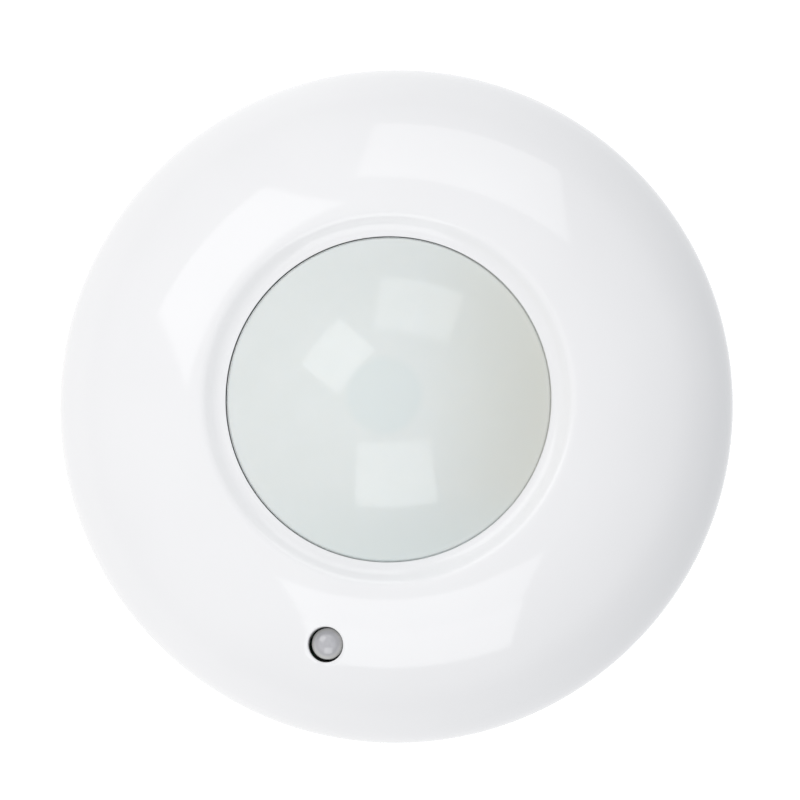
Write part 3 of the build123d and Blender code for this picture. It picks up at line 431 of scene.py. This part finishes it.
def arc(centre, radius, start, end, steps):
    """Points (r, z) on an arc, angles in degrees, both ends included."""
    points = []
    for step in range(steps + 1):
        angle = math.radians(start + (end - start) * step / steps)
        points.append((centre[0] + radius * math.cos(angle), centre[1] + radius * math.sin(angle)))
    return points


def mark_sharp(built, angle=SHARP):
    """Smooth faces, with sharp edges where the surface turns quickly."""
    for face in built.faces:
        face.smooth = True
    for edge in built.edges:
        if len(edge.link_faces) == 2:
            edge.smooth = edge.calc_face_angle(0) < angle


def finish_piece(name, built, body, material, nodes=()):
    """Turns a bmesh in millimetres into a piece that rides on a body."""
    bmesh.ops.remove_doubles(built, verts=built.verts, dist=MERGE)
    bmesh.ops.recalc_face_normals(built, faces=built.faces)
    mark_sharp(built)
    for vert in built.verts:
        vert.co *= MM
    mesh = bpy.data.meshes.new(name)
    built.to_mesh(mesh)
    built.free()
    mesh.materials.append(material)
    piece = bpy.data.objects.new(name, mesh)
    bpy.context.scene.collection.objects.link(piece)
    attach(piece, body)
    if nodes:
        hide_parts(*nodes)
    return piece


def lathe(built, outline, centre=(0.0, 0.0), segments=SEGMENTS, closed=True):
    """Spins points (r, z) about a vertical axis. Points on the axis become one vertex."""
    rows = []
    for r, z in outline:
        if r < 1e-6:
            rows.append([built.verts.new((centre[0], centre[1], z))] * segments)
            continue
        row = []
        for step in range(segments):
            angle = 2 * math.pi * step / segments
            row.append(built.verts.new((centre[0] + r * math.cos(angle), centre[1] + r * math.sin(angle), z)))
        rows.append(row)
    pairs = list(zip(rows, rows[1:]))
    if closed:
        pairs.append((rows[-1], rows[0]))
    for lower, upper in pairs:
        for step in range(segments):
            after = (step + 1) % segments
            corners = []
            for vert in (lower[step], lower[after], upper[after], upper[step]):
                if vert not in corners:
                    corners.append(vert)
            if len(corners) > 2:
                built.faces.new(corners)
    return rows


def bridge(built, first, second):
    """Faces between two loops of the same count."""
    count = len(first)
    for step in range(count):
        after = (step + 1) % count
        built.faces.new((first[step], first[after], second[after], second[step]))


# ---------------------------------------------------------------- cover

def skin_arcs():
    """The skin's two arcs, each a centre and a radius: the broad one, then the shoulder's."""
    start, bend = CREST_SLOPE, SHOULDER_SLOPE
    start_r = CREST_R + CREST_ROUND * math.sin(start)
    start_z = CREST_Z - CREST_ROUND * (1 - math.cos(start))
    width, drop = COVER_R - start_r, start_z - SHOULDER_Z
    out, down = math.sin(bend) - math.sin(start), math.cos(start) - math.cos(bend)
    scale = out * math.cos(bend) - down * (1 - math.sin(bend))
    broad = (width * math.cos(bend) - drop * (1 - math.sin(bend))) / scale
    tight = (out * drop - down * width) / scale
    broad_centre = (start_r - broad * math.sin(start), start_z - broad * math.cos(start))
    return (broad_centre, broad), ((COVER_R - tight, SHOULDER_Z), tight)


BROAD_ARC, SHOULDER_ARC = skin_arcs()


def skin_z(radius, wall=0.0):
    """Height of the domed skin at a radius, or of a surface lying below it by the wall."""
    centre, bow = BROAD_ARC
    if radius > centre[0] + (bow - wall) * math.sin(SHOULDER_SLOPE):
        centre, bow = SHOULDER_ARC
    return centre[1] + math.sqrt(max(0.0, (bow - wall) ** 2 - (radius - centre[0]) ** 2))


def skin_radii(wall=0.0):
    """Radii of the rows on the domed skin, from the crest out to the shoulder."""
    start = BROAD_ARC[0][0] + (BROAD_ARC[1] - wall) * math.sin(CREST_SLOPE)
    near = [start + (ROW_FIRST - start) * step / CREST_STEPS for step in range(CREST_STEPS)]
    rows = [ROW_FIRST + ROW_STEP * step for step in range(ROW_COUNT)]
    centre, bow = SHOULDER_ARC
    last = math.acos((rows[-1] - centre[0]) / (bow - wall))
    steep = [centre[0] + (bow - wall) * math.cos(last * (1 - step / SHOULDER_STEPS))
             for step in range(1, SHOULDER_STEPS + 1)]
    return near + rows + steep, len(near)


def polar_rows(built, points):
    """Rows of vertices, one for each (r, z)."""
    rows = []
    for r, z in points:
        row = []
        for step in range(SEGMENTS):
            angle = 2 * math.pi * step / SEGMENTS
            row.append(built.verts.new((r * math.cos(angle), r * math.sin(angle), z)))
        rows.append(row)
    return rows


def grid_faces(built, rows, blocks):
    """Faces between rows, left out inside the blocks (first row, last row, first column, columns)."""
    for low, (inner, outer) in enumerate(zip(rows, rows[1:])):
        for step in range(SEGMENTS):
            inside = any(
                first <= low < last and (step - column) % SEGMENTS < width
                for first, last, column, width in blocks
            )
            if not inside:
                after = (step + 1) % SEGMENTS
                built.faces.new((inner[step], inner[after], outer[after], outer[step]))


def block_loop(rows, block):
    """The vertices round a block, in order. The ones inside it are tagged for removal."""
    first, last, column, width = block
    columns = [(column + step) % SEGMENTS for step in range(width + 1)]
    loop = [rows[first][c] for c in columns]
    loop += [rows[r][columns[-1]] for r in range(first + 1, last + 1)]
    loop += [rows[last][c] for c in reversed(columns[:-1])]
    loop += [rows[r][columns[0]] for r in range(last - 1, first, -1)]
    for r in range(first + 1, last):
        for c in columns[1:-1]:
            rows[r][c].tag = True
    return loop


def circle_angles(loop, centre):
    """For each vertex of a loop, its angle round the centre, evened out."""
    angles = []
    for vert in loop:
        angles.append(math.atan2(vert.co.y - centre.y, vert.co.x - centre.x))
    direction = 1 if (angles[1] - angles[0] + math.pi) % (2 * math.pi) - math.pi > 0 else -1
    count = len(loop)
    even = [angles[0] + direction * 2 * math.pi * step / count for step in range(count)]
    return [
        own + 0.5 * ((level - own + math.pi) % (2 * math.pi) - math.pi)
        for own, level in zip(angles, even)
    ]


def hole_patch(built, loop, centre, radius, wall, rings=7):
    """Joins a block's edge to a circle, on the domed skin. Returns the circle's loop and its angles."""
    angles = circle_angles(loop, centre)
    previous = loop
    for ring in range(1, rings + 1):
        share = ring / rings
        current = []
        for vert, angle in zip(loop, angles):
            target = centre + Vector((math.cos(angle), math.sin(angle), 0)) * radius
            point = Vector((vert.co.x, vert.co.y, 0)).lerp(target, share)
            current.append(built.verts.new((point.x, point.y, skin_z(point.xy.length, wall))))
        bridge(built, previous, current)
        previous = current
    return previous, angles


def ring_at(built, centre, radius, angles, z):
    """A loop on a circle; z is a height or a list of heights."""
    heights = z if isinstance(z, list) else [z] * len(angles)
    return [
        built.verts.new((centre.x + radius * math.cos(a), centre.y + radius * math.sin(a), h))
        for a, h in zip(angles, heights)
    ]


def rounded_edge(built, loop, centre, radius, angles, edge_round):
    """Rolls a loop on the skin over into the wall of a hole."""
    heights = [vert.co.z for vert in loop]
    previous = loop
    for step in range(1, 5):
        bend = math.pi / 2 * step / 4
        current = ring_at(
            built, centre, radius + edge_round * (1 - math.sin(bend)), angles,
            [h - edge_round * (1 - math.cos(bend)) for h in heights],
        )
        bridge(built, previous, current)
        previous = current
    return previous


def recess_outline():
    """Points (r, z) from the foot of the lens hole, over the land and up the recess to the crest."""
    half = RECESS_SLOPE / 2
    run = RECESS_BEND * math.tan(half)
    points = [(HOLE_R, LAND_Z - LAND_WALL), (HOLE_R, LAND_Z - LAND_WALL / 2)]
    points += arc((HOLE_R + HOLE_ROUND, LAND_Z - HOLE_ROUND), HOLE_ROUND, 180, 90, 5)
    points += arc((LAND_R - run, LAND_Z + RECESS_BEND), RECESS_BEND, -90,
                  -90 + math.degrees(RECESS_SLOPE), 12)
    steep = (LAND_R + run * math.cos(RECESS_SLOPE), LAND_Z + run * math.sin(RECESS_SLOPE))
    for step in range(1, 4):
        share = step / 4
        points.append((steep[0] + (ROLL_R - steep[0]) * share, steep[1] + (ROLL_Z - steep[1]) * share))
    points += arc((CREST_R, CREST_Z - CREST_ROUND), CREST_ROUND, 90 + math.degrees(RECESS_SLOPE),
                  90 - math.degrees(CREST_SLOPE), 10)[:-1]
    return points


def under_outline():
    """The one point (r, z) of the underside below the land, next to the foot of the lens hole."""
    under_r = LAND_R + LAND_WALL * math.tan(RECESS_SLOPE / 2)
    return [(under_r, LAND_Z - LAND_WALL)]


def build_cover():
    """The whole cover as one closed mesh, with the light's hole and the three sockets."""
    built = bmesh.new()
    outer_r, offset = skin_radii()
    inner_r, _ = skin_radii(COVER_WALL)
    recess = recess_outline()
    edge = arc((COVER_R - EDGE_ROUND, COVER_EDGE_Z + EDGE_ROUND), EDGE_ROUND, 0, -90, 4)
    outer = recess + [(r, skin_z(r)) for r in outer_r] + edge
    inner_edge = [(COVER_R - COVER_WALL, COVER_EDGE_Z)]
    inner = inner_edge + [(r, skin_z(r, COVER_WALL)) for r in reversed(inner_r)] + under_outline()
    rows = polar_rows(built, outer + inner)
    skin_start = len(recess) + offset
    under_start = len(outer) + len(inner_edge) + len(inner_r) - 1 - offset

    def block(start, direction, span, turn, columns):
        """A block of the grid round a turn, on the skin or under it."""
        first, last = sorted((start + direction * span[0], start + direction * span[1]))
        column = round(turn / 360 * SEGMENTS) - columns
        return first, last, column, 2 * columns

    top_block = block(skin_start, 1, LED_ROWS, LED_TURN, LED_COLUMNS)
    under_led = block(under_start, -1, LED_ROWS, LED_TURN, LED_COLUMNS)
    boss_blocks = [block(under_start, -1, BOSS_ROWS, turn, BOSS_COLUMNS) for turn in POST_TURNS]
    grid_faces(built, rows + [rows[0]], [top_block, under_led] + boss_blocks)

    centre = place(LED_TURN, LED_CIRCLE)
    loop = block_loop(rows, top_block)
    lip, angles = hole_patch(built, loop, centre, LED_HOLE_R + EDGE_ROUND, 0.0)
    rim = rounded_edge(built, lip, centre, LED_HOLE_R, angles, EDGE_ROUND)
    foot = ring_at(built, centre, LED_HOLE_R, angles, LED_COLLAR_Z)
    bridge(built, rim, foot)
    outside = ring_at(built, centre, LED_COLLAR_R, angles, LED_COLLAR_Z)
    bridge(built, foot, outside)
    under_loop = block_loop(rows, under_led)
    under_lip, _ = hole_patch(built, under_loop, centre, LED_COLLAR_R, COVER_WALL)
    join_loops(built, outside, under_lip)

    for turn, socket in zip(POST_TURNS, boss_blocks):
        add_socket(built, rows, socket, place(turn, POST_CIRCLE))
    bmesh.ops.delete(built, geom=[v for v in built.verts if v.tag or not v.link_faces], context="VERTS")
    return finish_piece("cover_shell", built, "cover", cover_material(), ["front_cover"])


def join_loops(built, first, second):
    """Bridges two loops of the same count that may start at different places."""
    nearest = min(range(len(second)), key=lambda i: (second[i].co.xy - first[0].co.xy).length)
    count = len(second)
    forward = second[(nearest + 1) % count].co.xy
    backward = second[(nearest - 1) % count].co.xy
    step = 1 if (forward - first[1].co.xy).length < (backward - first[1].co.xy).length else -1
    bridge(built, first, [second[(nearest + step * i) % count] for i in range(count)])


def add_socket(built, rows, socket, centre):
    """One socket for a post, hanging from the underside."""
    loop = block_loop(rows, socket)
    lip, angles = hole_patch(built, loop, centre, BOSS_R, COVER_WALL, 4)
    stages = [(BOSS_R, BOSS_Z + EDGE_ROUND), (BOSS_R - EDGE_ROUND, BOSS_Z),
              (BOSS_BORE_R + EDGE_ROUND, BOSS_Z), (BOSS_BORE_R, BOSS_Z + EDGE_ROUND),
              (BOSS_BORE_R, BOSS_BORE_TOP)]
    previous = lip
    for radius, z in stages:
        current = ring_at(built, centre, radius, angles, z)
        bridge(built, previous, current)
        previous = current
    built.faces.new(previous)


# ---------------------------------------------------------------- lens

DOME_SPHERE = (LENS_R ** 2 + LENS_RISE ** 2) / (2 * LENS_RISE)


def dome_z(radius, wall=0.0):
    """Height of the lens dome at a radius, or of its inside when a wall is given."""
    return LENS_CROWN - DOME_SPHERE + math.sqrt((DOME_SPHERE - wall) ** 2 - radius ** 2)


def groove_depth(radius, angle):
    """Depth of the grooves moulded inside the lens, which run round each lenslet's own middle."""
    for start, end, count in LENSLET_RINGS:
        if radius <= end:
            middle_r = 0.0 if count == 1 else (start + end) / 2
            sector = 2 * math.pi / count
            middle = (math.floor(angle / sector) + 0.5) * sector if count > 1 else 0.0
            x = radius * math.cos(angle) - middle_r * math.cos(middle)
            y = radius * math.sin(angle) - middle_r * math.sin(middle)
            return GROOVE_DEPTH * (math.hypot(x, y) / GROOVE_PITCH % 1.0)
    return 0.0


def lens_outside():
    """Points (r, z) from the crown over the dome, down the stepped wall and round the flange."""
    slope = math.asin(LENS_R / DOME_SPHERE)
    edge_r = LENS_R - LENS_ROUND
    points = [(0.0, dome_z(0.0))]
    for step in range(1, LENS_STEPS + 1):
        points.append((edge_r * step / LENS_STEPS, dome_z(edge_r * step / LENS_STEPS)))
    start = points[-1]
    scale = LENS_ROUND / (1 - math.sin(slope))
    for step in range(1, LENS_ROUND_STEPS + 1):
        angle = slope + (math.pi / 2 - slope) * step / LENS_ROUND_STEPS
        points.append((start[0] + (math.sin(angle) - math.sin(slope)) * scale,
                       start[1] - (math.cos(slope) - math.cos(angle)) * scale))
    flange_top = LENS_FOOT + FLANGE_T
    step_z = LAND_Z - LENS_STEP_DEPTH
    thick_r = LENS_R + LENS_STEP
    points += [(LENS_R, step_z), (thick_r, step_z - LENS_STEP / 5)]
    points += [(thick_r, flange_top + FLANGE_EDGE), (thick_r + FLANGE_EDGE, flange_top)]
    points += [(FLANGE_R - FLANGE_EDGE, flange_top), (FLANGE_R, flange_top - FLANGE_EDGE)]
    points += [(FLANGE_R, LENS_FOOT + FLANGE_FOOT_EDGE), (FLANGE_R - FLANGE_FOOT_EDGE, LENS_FOOT)]
    return points + [(LENS_R - LENS_WALL, LENS_FOOT)]


def build_lens():
    """The lens: smooth outside, grooved inside, with its wall and flange."""
    built = bmesh.new()
    outside = lens_outside()
    inside = []
    for step in range(LENS_FINE_STEPS + 1):
        radius = (LENS_R - LENS_WALL) * (LENS_FINE_STEPS - step) / LENS_FINE_STEPS
        inside.append((radius, dome_z(radius, LENS_WALL)))
    rows = lathe(built, outside + inside, LENS_SHIFT, closed=False)
    for row, (radius, z) in zip(rows[len(outside):-1], inside):
        for step, vert in enumerate(row):
            vert.co.z = z - groove_depth(radius, 2 * math.pi * step / SEGMENTS)
    return finish_piece("lens_dome", built, "head", lens_material(), ["lens"])


# ---------------------------------------------------------------- status light

def build_led():
    """The round-topped light with its flange."""
    built = bmesh.new()
    radius = LED_R + LED_SPARE
    reach = LED_R + LED_FLANGE_REACH
    flange_top = LED_FOOT + LED_FLANGE_T
    profile = [(0.0, LED_FOOT), (reach - 0.05, LED_FOOT), (reach, LED_FOOT + 0.1),
               (reach, flange_top - 0.1), (reach - 0.1, flange_top), (radius, flange_top + 0.05)]
    shoulder = LED_TOP - LED_DOME
    for step in range(LED_DOME_STEPS):
        angle = math.radians(90 * step / LED_DOME_STEPS)
        profile.append((radius * math.cos(angle), shoulder + LED_DOME * math.sin(angle)))
    lathe(built, profile + [(0.0, LED_TOP)], (LED_MID.x, LED_MID.y), LED_SEGMENTS, closed=False)
    return finish_piece("led_body", built, "head", led_material(), ["status_led"])


# ---------------------------------------------------------------- pieces refined from CAD nodes

def islands(node):
    """The separate solids of a node, each a list of points in millimetres."""
    built = bmesh.new()
    built.from_mesh(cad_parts[node].data)
    bmesh.ops.remove_doubles(built, verts=built.verts, dist=1e-6)
    seen, groups = set(), []
    for start in built.verts:
        if start.index in seen:
            continue
        seen.add(start.index)
        group, front = [], [start]
        while front:
            vert = front.pop()
            group.append(vert.co / MM)
            for edge in vert.link_edges:
                other = edge.other_vert(vert)
                if other.index not in seen:
                    seen.add(other.index)
                    front.append(other)
        groups.append(group)
    built.free()
    return groups


def refined(node, body, material, soften, angle=32.0, segments=2):
    """A node's own shape with its edges moulded round, as a new piece in its place."""
    built = bmesh.new()
    built.from_mesh(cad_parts[node].data)
    for vert in built.verts:
        vert.co /= MM
    bmesh.ops.remove_doubles(built, verts=built.verts, dist=0.002)
    bmesh.ops.dissolve_limit(built, angle_limit=math.radians(0.5), verts=built.verts, edges=built.edges)
    sharp = [e for e in built.edges if len(e.link_faces) == 2 and e.calc_face_angle(0) > math.radians(angle)]
    if soften:
        bmesh.ops.bevel(built, geom=sharp, offset=soften, offset_type="OFFSET", segments=segments,
                        profile=0.5, affect="EDGES", clamp_overlap=True)
    bmesh.ops.triangulate(built, faces=[f for f in built.faces if len(f.verts) > 4])
    return finish_piece(f"{node}_moulded", built, body, material, [node])


def component_pads(node, turn, grow, name):
    """Tinned pads on the board under the leads of a surface-mounted part."""
    built = bmesh.new()
    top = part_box("circuit_board")[1].z / MM
    for group in islands(node):
        if min(p.z for p in group) > top + PAD_REACH:
            continue
        spin = Matrix.Rotation(-math.radians(turn), 3, "Z")
        local = [spin @ p for p in group]
        low_x, high_x = min(p.x for p in local) - grow, max(p.x for p in local) + grow
        low_y, high_y = min(p.y for p in local) - grow / 3, max(p.y for p in local) + grow / 3
        add_plate(built, (low_x, high_x), (low_y, high_y), top - 0.01, top + PAD_LIFT, PAD_EDGE, turn)
    return finish_piece(name, built, "head", MATERIALS["tin"]())


def add_plate(built, across, along, low, high, soften, turn):
    """A thin bevelled plate, turned about the Z axis."""
    spin = Matrix.Rotation(math.radians(turn), 3, "Z")
    rings = []
    for z, inset in ((low, 0.0), (high - soften, 0.0), (high, soften)):
        corners = []
        for x, y in ((across[0] + inset, along[0] + inset), (across[1] - inset, along[0] + inset),
                     (across[1] - inset, along[1] - inset), (across[0] + inset, along[1] - inset)):
            corners.append(built.verts.new(spin @ Vector((x, y, z))))
        rings.append(corners)
    built.faces.new(reversed(rings[0]))
    for lower, upper in zip(rings, rings[1:]):
        bridge(built, lower, upper)
    built.faces.new(rings[-1])


MATERIALS = {
    "moulded": lambda: plastic("housing_white", (0.82, 0.82, 0.83), 0.42, 0.28, 0.010, 0.012),
    "black": lambda: plastic("matt_black", (0.030, 0.030, 0.033), 0.5, 0.3, 0.012),
    "rubber": lambda: plastic("seal_rubber", (0.025, 0.025, 0.026), 0.85, 0.4, 0.03),
    "steel": lambda: metal("zinc_plate", (0.60, 0.61, 0.62), 0.28),
    "nickel": lambda: metal("nickel_can", (0.68, 0.67, 0.63), 0.2, (1, 1, 6)),
    "filter": lambda: plastic("filter_glass", (0.020, 0.020, 0.028), 0.08, 1.0, 0.0),
    "tin": lambda: metal("tinned", (0.72, 0.72, 0.73), 0.24, (3, 3, 3)),
    "brass": lambda: metal("brass", (0.74, 0.58, 0.28), 0.3),
    "gold": lambda: metal("gold_plate", (0.86, 0.66, 0.28), 0.22),
    "spring": lambda: metal("spring_wire", (0.50, 0.50, 0.51), 0.25, (6, 6, 6)),
    "acetal": lambda: plastic("acetal", (0.80, 0.80, 0.77), 0.35),
    "green": lambda: plastic("terminal_green", (0.020, 0.26, 0.10), 0.38),
    "red": lambda: plastic("dip_red", (0.46, 0.020, 0.020), 0.36),
    "yellow": lambda: plastic("button_yellow", (0.72, 0.50, 0.030), 0.36),
    "relay": lambda: plastic("relay_case", (0.74, 0.74, 0.70), 0.4, 0.35, 0.008),
    "epoxy": lambda: plastic("chip_epoxy", (0.028, 0.028, 0.030), 0.55, 0.18, 0.008),
    "blue": lambda: plastic("jumper_blue", (0.025, 0.075, 0.36), 0.38),
    "trimmer": lambda: plastic("trimmer_blue", (0.025, 0.11, 0.42), 0.34),
    "ivory": lambda: plastic("rotor_ivory", (0.78, 0.72, 0.54), 0.38),
    "board": board_material,
    "slider": lambda: plastic("slider_white", (0.80, 0.80, 0.78), 0.36),
}

# node: (body, slot, material, edge softening in millimetres)
REFINED = {
    "mounting_base": ("base", "housing_white", "moulded", 0.25),
    "rear_housing": ("head", "housing_white", "moulded", 0.2),
    "circuit_board": ("head", "board_green", "board", 0.0),
    "board_screws": ("head", "screw_steel", "steel", 0.1),
    "lens_holder": ("head", "holder_black", "black", 0.2),
    "lens_seal": ("head", "seal_rubber", "rubber", 0.1),
    "lens_ring": ("head", "holder_black", "black", 0.2),
    "pir_header": ("head", "sensor_metal", "nickel", 0.1),
    "pir_can": ("head", "sensor_metal", "nickel", 0.08),
    "pir_window": ("head", "filter_dark", "filter", 0.05),
    "pir_leads": ("head", "tinned_leads", "tin", 0.0),
    "led_leads": ("head", "tinned_leads", "tin", 0.05),
    "terminal_block": ("head", "terminal_green", "green", 0.15),
    "terminal_screws": ("head", "screw_steel", "steel", 0.08),
    "terminal_clamps": ("head", "clamp_brass", "brass", 0.08),
    "tamper_switch": ("head", "switch_black", "black", 0.1),
    "tamper_plunger": ("tamper", "plunger_white", "acetal", 0.15),
    "dip_switch_body": ("head", "dip_red", "red", 0.12),
    "test_switch_body": ("head", "switch_black", "black", 0.15),
    "test_button": ("test_push", "button_yellow", "yellow", 0.15),
    "relay_case": ("head", "relay_white", "relay", 0.3),
    "relay_pins": ("head", "tinned_leads", "tin", 0.04),
    "capacitor_feet": ("head", "switch_black", "black", 0.12),
    "controller_chip": ("head", "chip_black", "epoxy", 0.1),
    "chip_leads": ("head", "tinned_leads", "tin", 0.03),
    "voltage_regulator": ("head", "chip_black", "epoxy", 0.1),
    "regulator_tab": ("head", "tinned_leads", "tin", 0.04),
    "jumper_header": ("head", "switch_black", "black", 0.12),
    "jumper_pins": ("head", "pin_gold", "gold", 0.06),
    "jumper_cap": ("head", "jumper_blue", "blue", 0.12),
    "chip_passives": ("head", "chip_black", "epoxy", 0.04),
    "passive_ends": ("head", "tinned_leads", "tin", 0.04),
    "time_trimmer_body": ("head", "trimmer_blue", "trimmer", 0.2),
    "range_trimmer_body": ("head", "trimmer_blue", "trimmer", 0.2),
    "time_trimmer_rotor": ("time_rotor", "rotor_ivory", "ivory", 0.1),
    "range_trimmer_rotor": ("range_rotor", "rotor_ivory", "ivory", 0.1),
    **{f"dip_slider_{way}": (f"dip_{way}", "slider_white", "slider", 0.1) for way in range(1, 5)},
}


def build_refined():
    """Every node that keeps its CAD shape, with moulded edges."""
    ready = {}
    for node, (body, slot_name, key, soften) in REFINED.items():
        if key not in ready:
            ready[key] = MATERIALS[key]()
        refined(node, body, ready[key], soften)
    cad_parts["tamper_spring"].data.materials.clear()
    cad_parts["tamper_spring"].data.materials.append(MATERIALS["spring"]())


# ---------------------------------------------------------------- capacitors and pads

def can_outline(radius, low, high):
    """Points (r, z) of an aluminium can with a crimp near its foot and a rounded top."""
    crimp = low + 0.9
    outline = [(0.0, low), (radius - 0.15, low), (radius, low + 0.15), (radius, crimp - 0.35)]
    outline += [(radius - 0.09, crimp - 0.18), (radius - 0.12, crimp), (radius - 0.09, crimp + 0.18)]
    outline.append((radius, crimp + 0.35))
    outline += arc((radius - CAN_EDGE, high - CAN_EDGE), CAN_EDGE, 0, 90, 5)
    return outline + [(radius - 0.7, high), (radius - 0.8, high - 0.06), (0.0, high - 0.06)]


def build_capacitors():
    """Two crimped cans, each with a dark half-moon that marks one side."""
    cans, marks = bmesh.new(), bmesh.new()
    for group in islands("capacitors"):
        low, high = min(p.z for p in group), max(p.z for p in group)
        middle = (Vector(map(min, zip(*group))) + Vector(map(max, zip(*group)))) / 2
        radius = max((p.xy - middle.xy).length for p in group)
        lathe(cans, can_outline(radius, low, high), middle.xy, CAN_SEGMENTS, closed=False)
        outward = math.atan2(middle.y, middle.x)
        add_half_moon(marks, middle, radius - 0.95, outward, high - 0.06)
    finish_piece("capacitor_cans", cans, "head",
                 metal("can_aluminium", (0.80, 0.80, 0.81), 0.3, (1, 1, 1)), ["capacitors"])
    finish_piece("capacitor_marks", marks, "head",
                 plastic("ink_black", (0.02, 0.02, 0.022), 0.5))


def add_half_moon(built, middle, radius, outward, z):
    """A thin raised segment on top of a can."""
    rings = []
    for lift in (0.0, MARK_LIFT):
        loop = []
        for step in range(MARK_STEPS + 1):
            angle = outward + math.radians(MARK_HALF_ANGLE * (2 * step / MARK_STEPS - 1))
            loop.append(built.verts.new((middle.x + radius * math.cos(angle),
                                         middle.y + radius * math.sin(angle), z + lift)))
        rings.append(loop)
    built.faces.new(reversed(rings[0]))
    bridge(built, *rings)
    built.faces.new(rings[1])


def build_pads():
    """Pads under the surface-mounted parts."""
    for node, turn, grow in (("chip_leads", 146.0, 0.35), ("regulator_tab", 163.0, 0.3)):
        component_pads(node, turn, grow, f"{node}_pads")


# ---------------------------------------------------------------- floor, lights and camera

def build_floor():
    """A plain pale floor under the sensor."""
    bpy.ops.mesh.primitive_plane_add(size=4.0, location=(0, 0, -0.0002))
    floor = bpy.context.object
    floor.name = "floor"
    made, tree, shader = principled("floor_pale")
    where = coordinates(tree)
    cloud = spread(tree, noise(tree, where, 90.0, 3), 0, 1)
    tree.links.new(blend_colours(tree, cloud, (0.90, 0.90, 0.90), (0.93, 0.93, 0.93)),
                   shader.inputs["Base Color"])
    shader.inputs["Roughness"].default_value = 0.9
    shader.inputs["Emission Color"].default_value = (1, 1, 1, 1)
    shader.inputs["Emission Strength"].default_value = FLOOR_GLOW
    floor.data.materials.append(made)
    floor.visible_diffuse = floor.visible_glossy = False


def build_softbox(name, polar, azimuth, width, height, roll, brightness):
    """A rectangular area light on a sphere round the sensor, aimed at it."""
    light = bpy.data.lights.new(name, "AREA")
    light.shape = "RECTANGLE"
    light.size = 2 * LIGHT_REACH * math.tan(math.radians(width) / 2)
    light.size_y = 2 * LIGHT_REACH * math.tan(math.radians(height) / 2)
    light.energy = brightness * math.pi * light.size * light.size_y
    lamp = bpy.data.objects.new(name, light)
    bpy.context.scene.collection.objects.link(lamp)
    tilt, turn = math.radians(polar), math.radians(azimuth)
    away = Vector((math.sin(tilt) * math.cos(turn), math.sin(tilt) * math.sin(turn), math.cos(tilt)))
    up = Vector((0, 0, 1))
    side = up.cross(away).normalized()
    rise = away.cross(side)
    spin = Matrix.Rotation(math.radians(roll), 3, away)
    basis = spin @ Matrix((side, rise, away)).transposed()
    lamp.matrix_world = Matrix.Translation(away * LIGHT_REACH) @ basis.to_4x4()
    lamp.visible_camera = False


def build_world():
    """An even studio surround, brighter on the left than on the right."""
    world = bpy.data.worlds.new("studio")
    world.use_nodes = True
    tree = world.node_tree
    back = tree.nodes["Background"]
    where = tree.nodes.new("ShaderNodeTexCoord")
    split = tree.nodes.new("ShaderNodeSeparateXYZ")
    tree.links.new(where.outputs["Generated"], split.inputs[0])
    toward = tree.nodes.new("ShaderNodeVectorMath")
    toward.operation = "DOT_PRODUCT"
    toward.inputs[1].default_value = BRIGHT_SIDE
    tree.links.new(where.outputs["Generated"], toward.inputs[0])
    side = spread(tree, toward.outputs["Value"], *SIDE_STRENGTH, -1.0, 0.25)
    below = spread(tree, split.outputs["Z"], BELOW_STRENGTH, 1.0, -0.25, 0.1)
    tree.links.new(combine(tree, "MULTIPLY", side, below), back.inputs["Strength"])
    cool = spread(tree, toward.outputs["Value"], 1, 0, -0.9, 0.4)
    tree.links.new(blend_colours(tree, cool, (1, 1, 1), (0.96, 0.98, 1.0)), back.inputs["Color"])
    bpy.context.scene.world = world


def build_camera():
    """A long lens, looking at the sensor from a little to the right and below."""
    data = bpy.data.cameras.new("camera")
    camera = bpy.data.objects.new("camera", data)
    bpy.context.scene.collection.objects.link(camera)
    away = Vector((math.sin(VIEW_TILT) * math.cos(VIEW_TURN), math.sin(VIEW_TILT) * math.sin(VIEW_TURN),
                   math.cos(VIEW_TILT)))
    aim = Vector((0, 0, SHOULDER_Z * MM))
    camera.location = aim + away * VIEW_REACH
    right = Vector((0, 1, 0)).cross(away).normalized()
    rise = away.cross(right)
    basis = Matrix((right, rise, away)).transposed()
    camera.matrix_world = Matrix.Translation(camera.location) @ basis.to_4x4()
    data.sensor_width = SENSOR_WIDTH
    width = 2 * COVER_R * MM / FRAME_SHARE
    data.lens = SENSOR_WIDTH * VIEW_REACH / width
    data.shift_x, data.shift_y = AIM_SHIFT
    data.clip_end = 10
    bpy.context.scene.camera = camera


bpy.context.scene.view_settings.view_transform = "Standard"
build_camera()
build_world()
build_floor()
for softbox, values in SOFTBOXES.items():
    build_softbox(softbox, *values)
build_cover()
build_lens()
build_led()
build_refined()
build_capacitors()
build_pads()
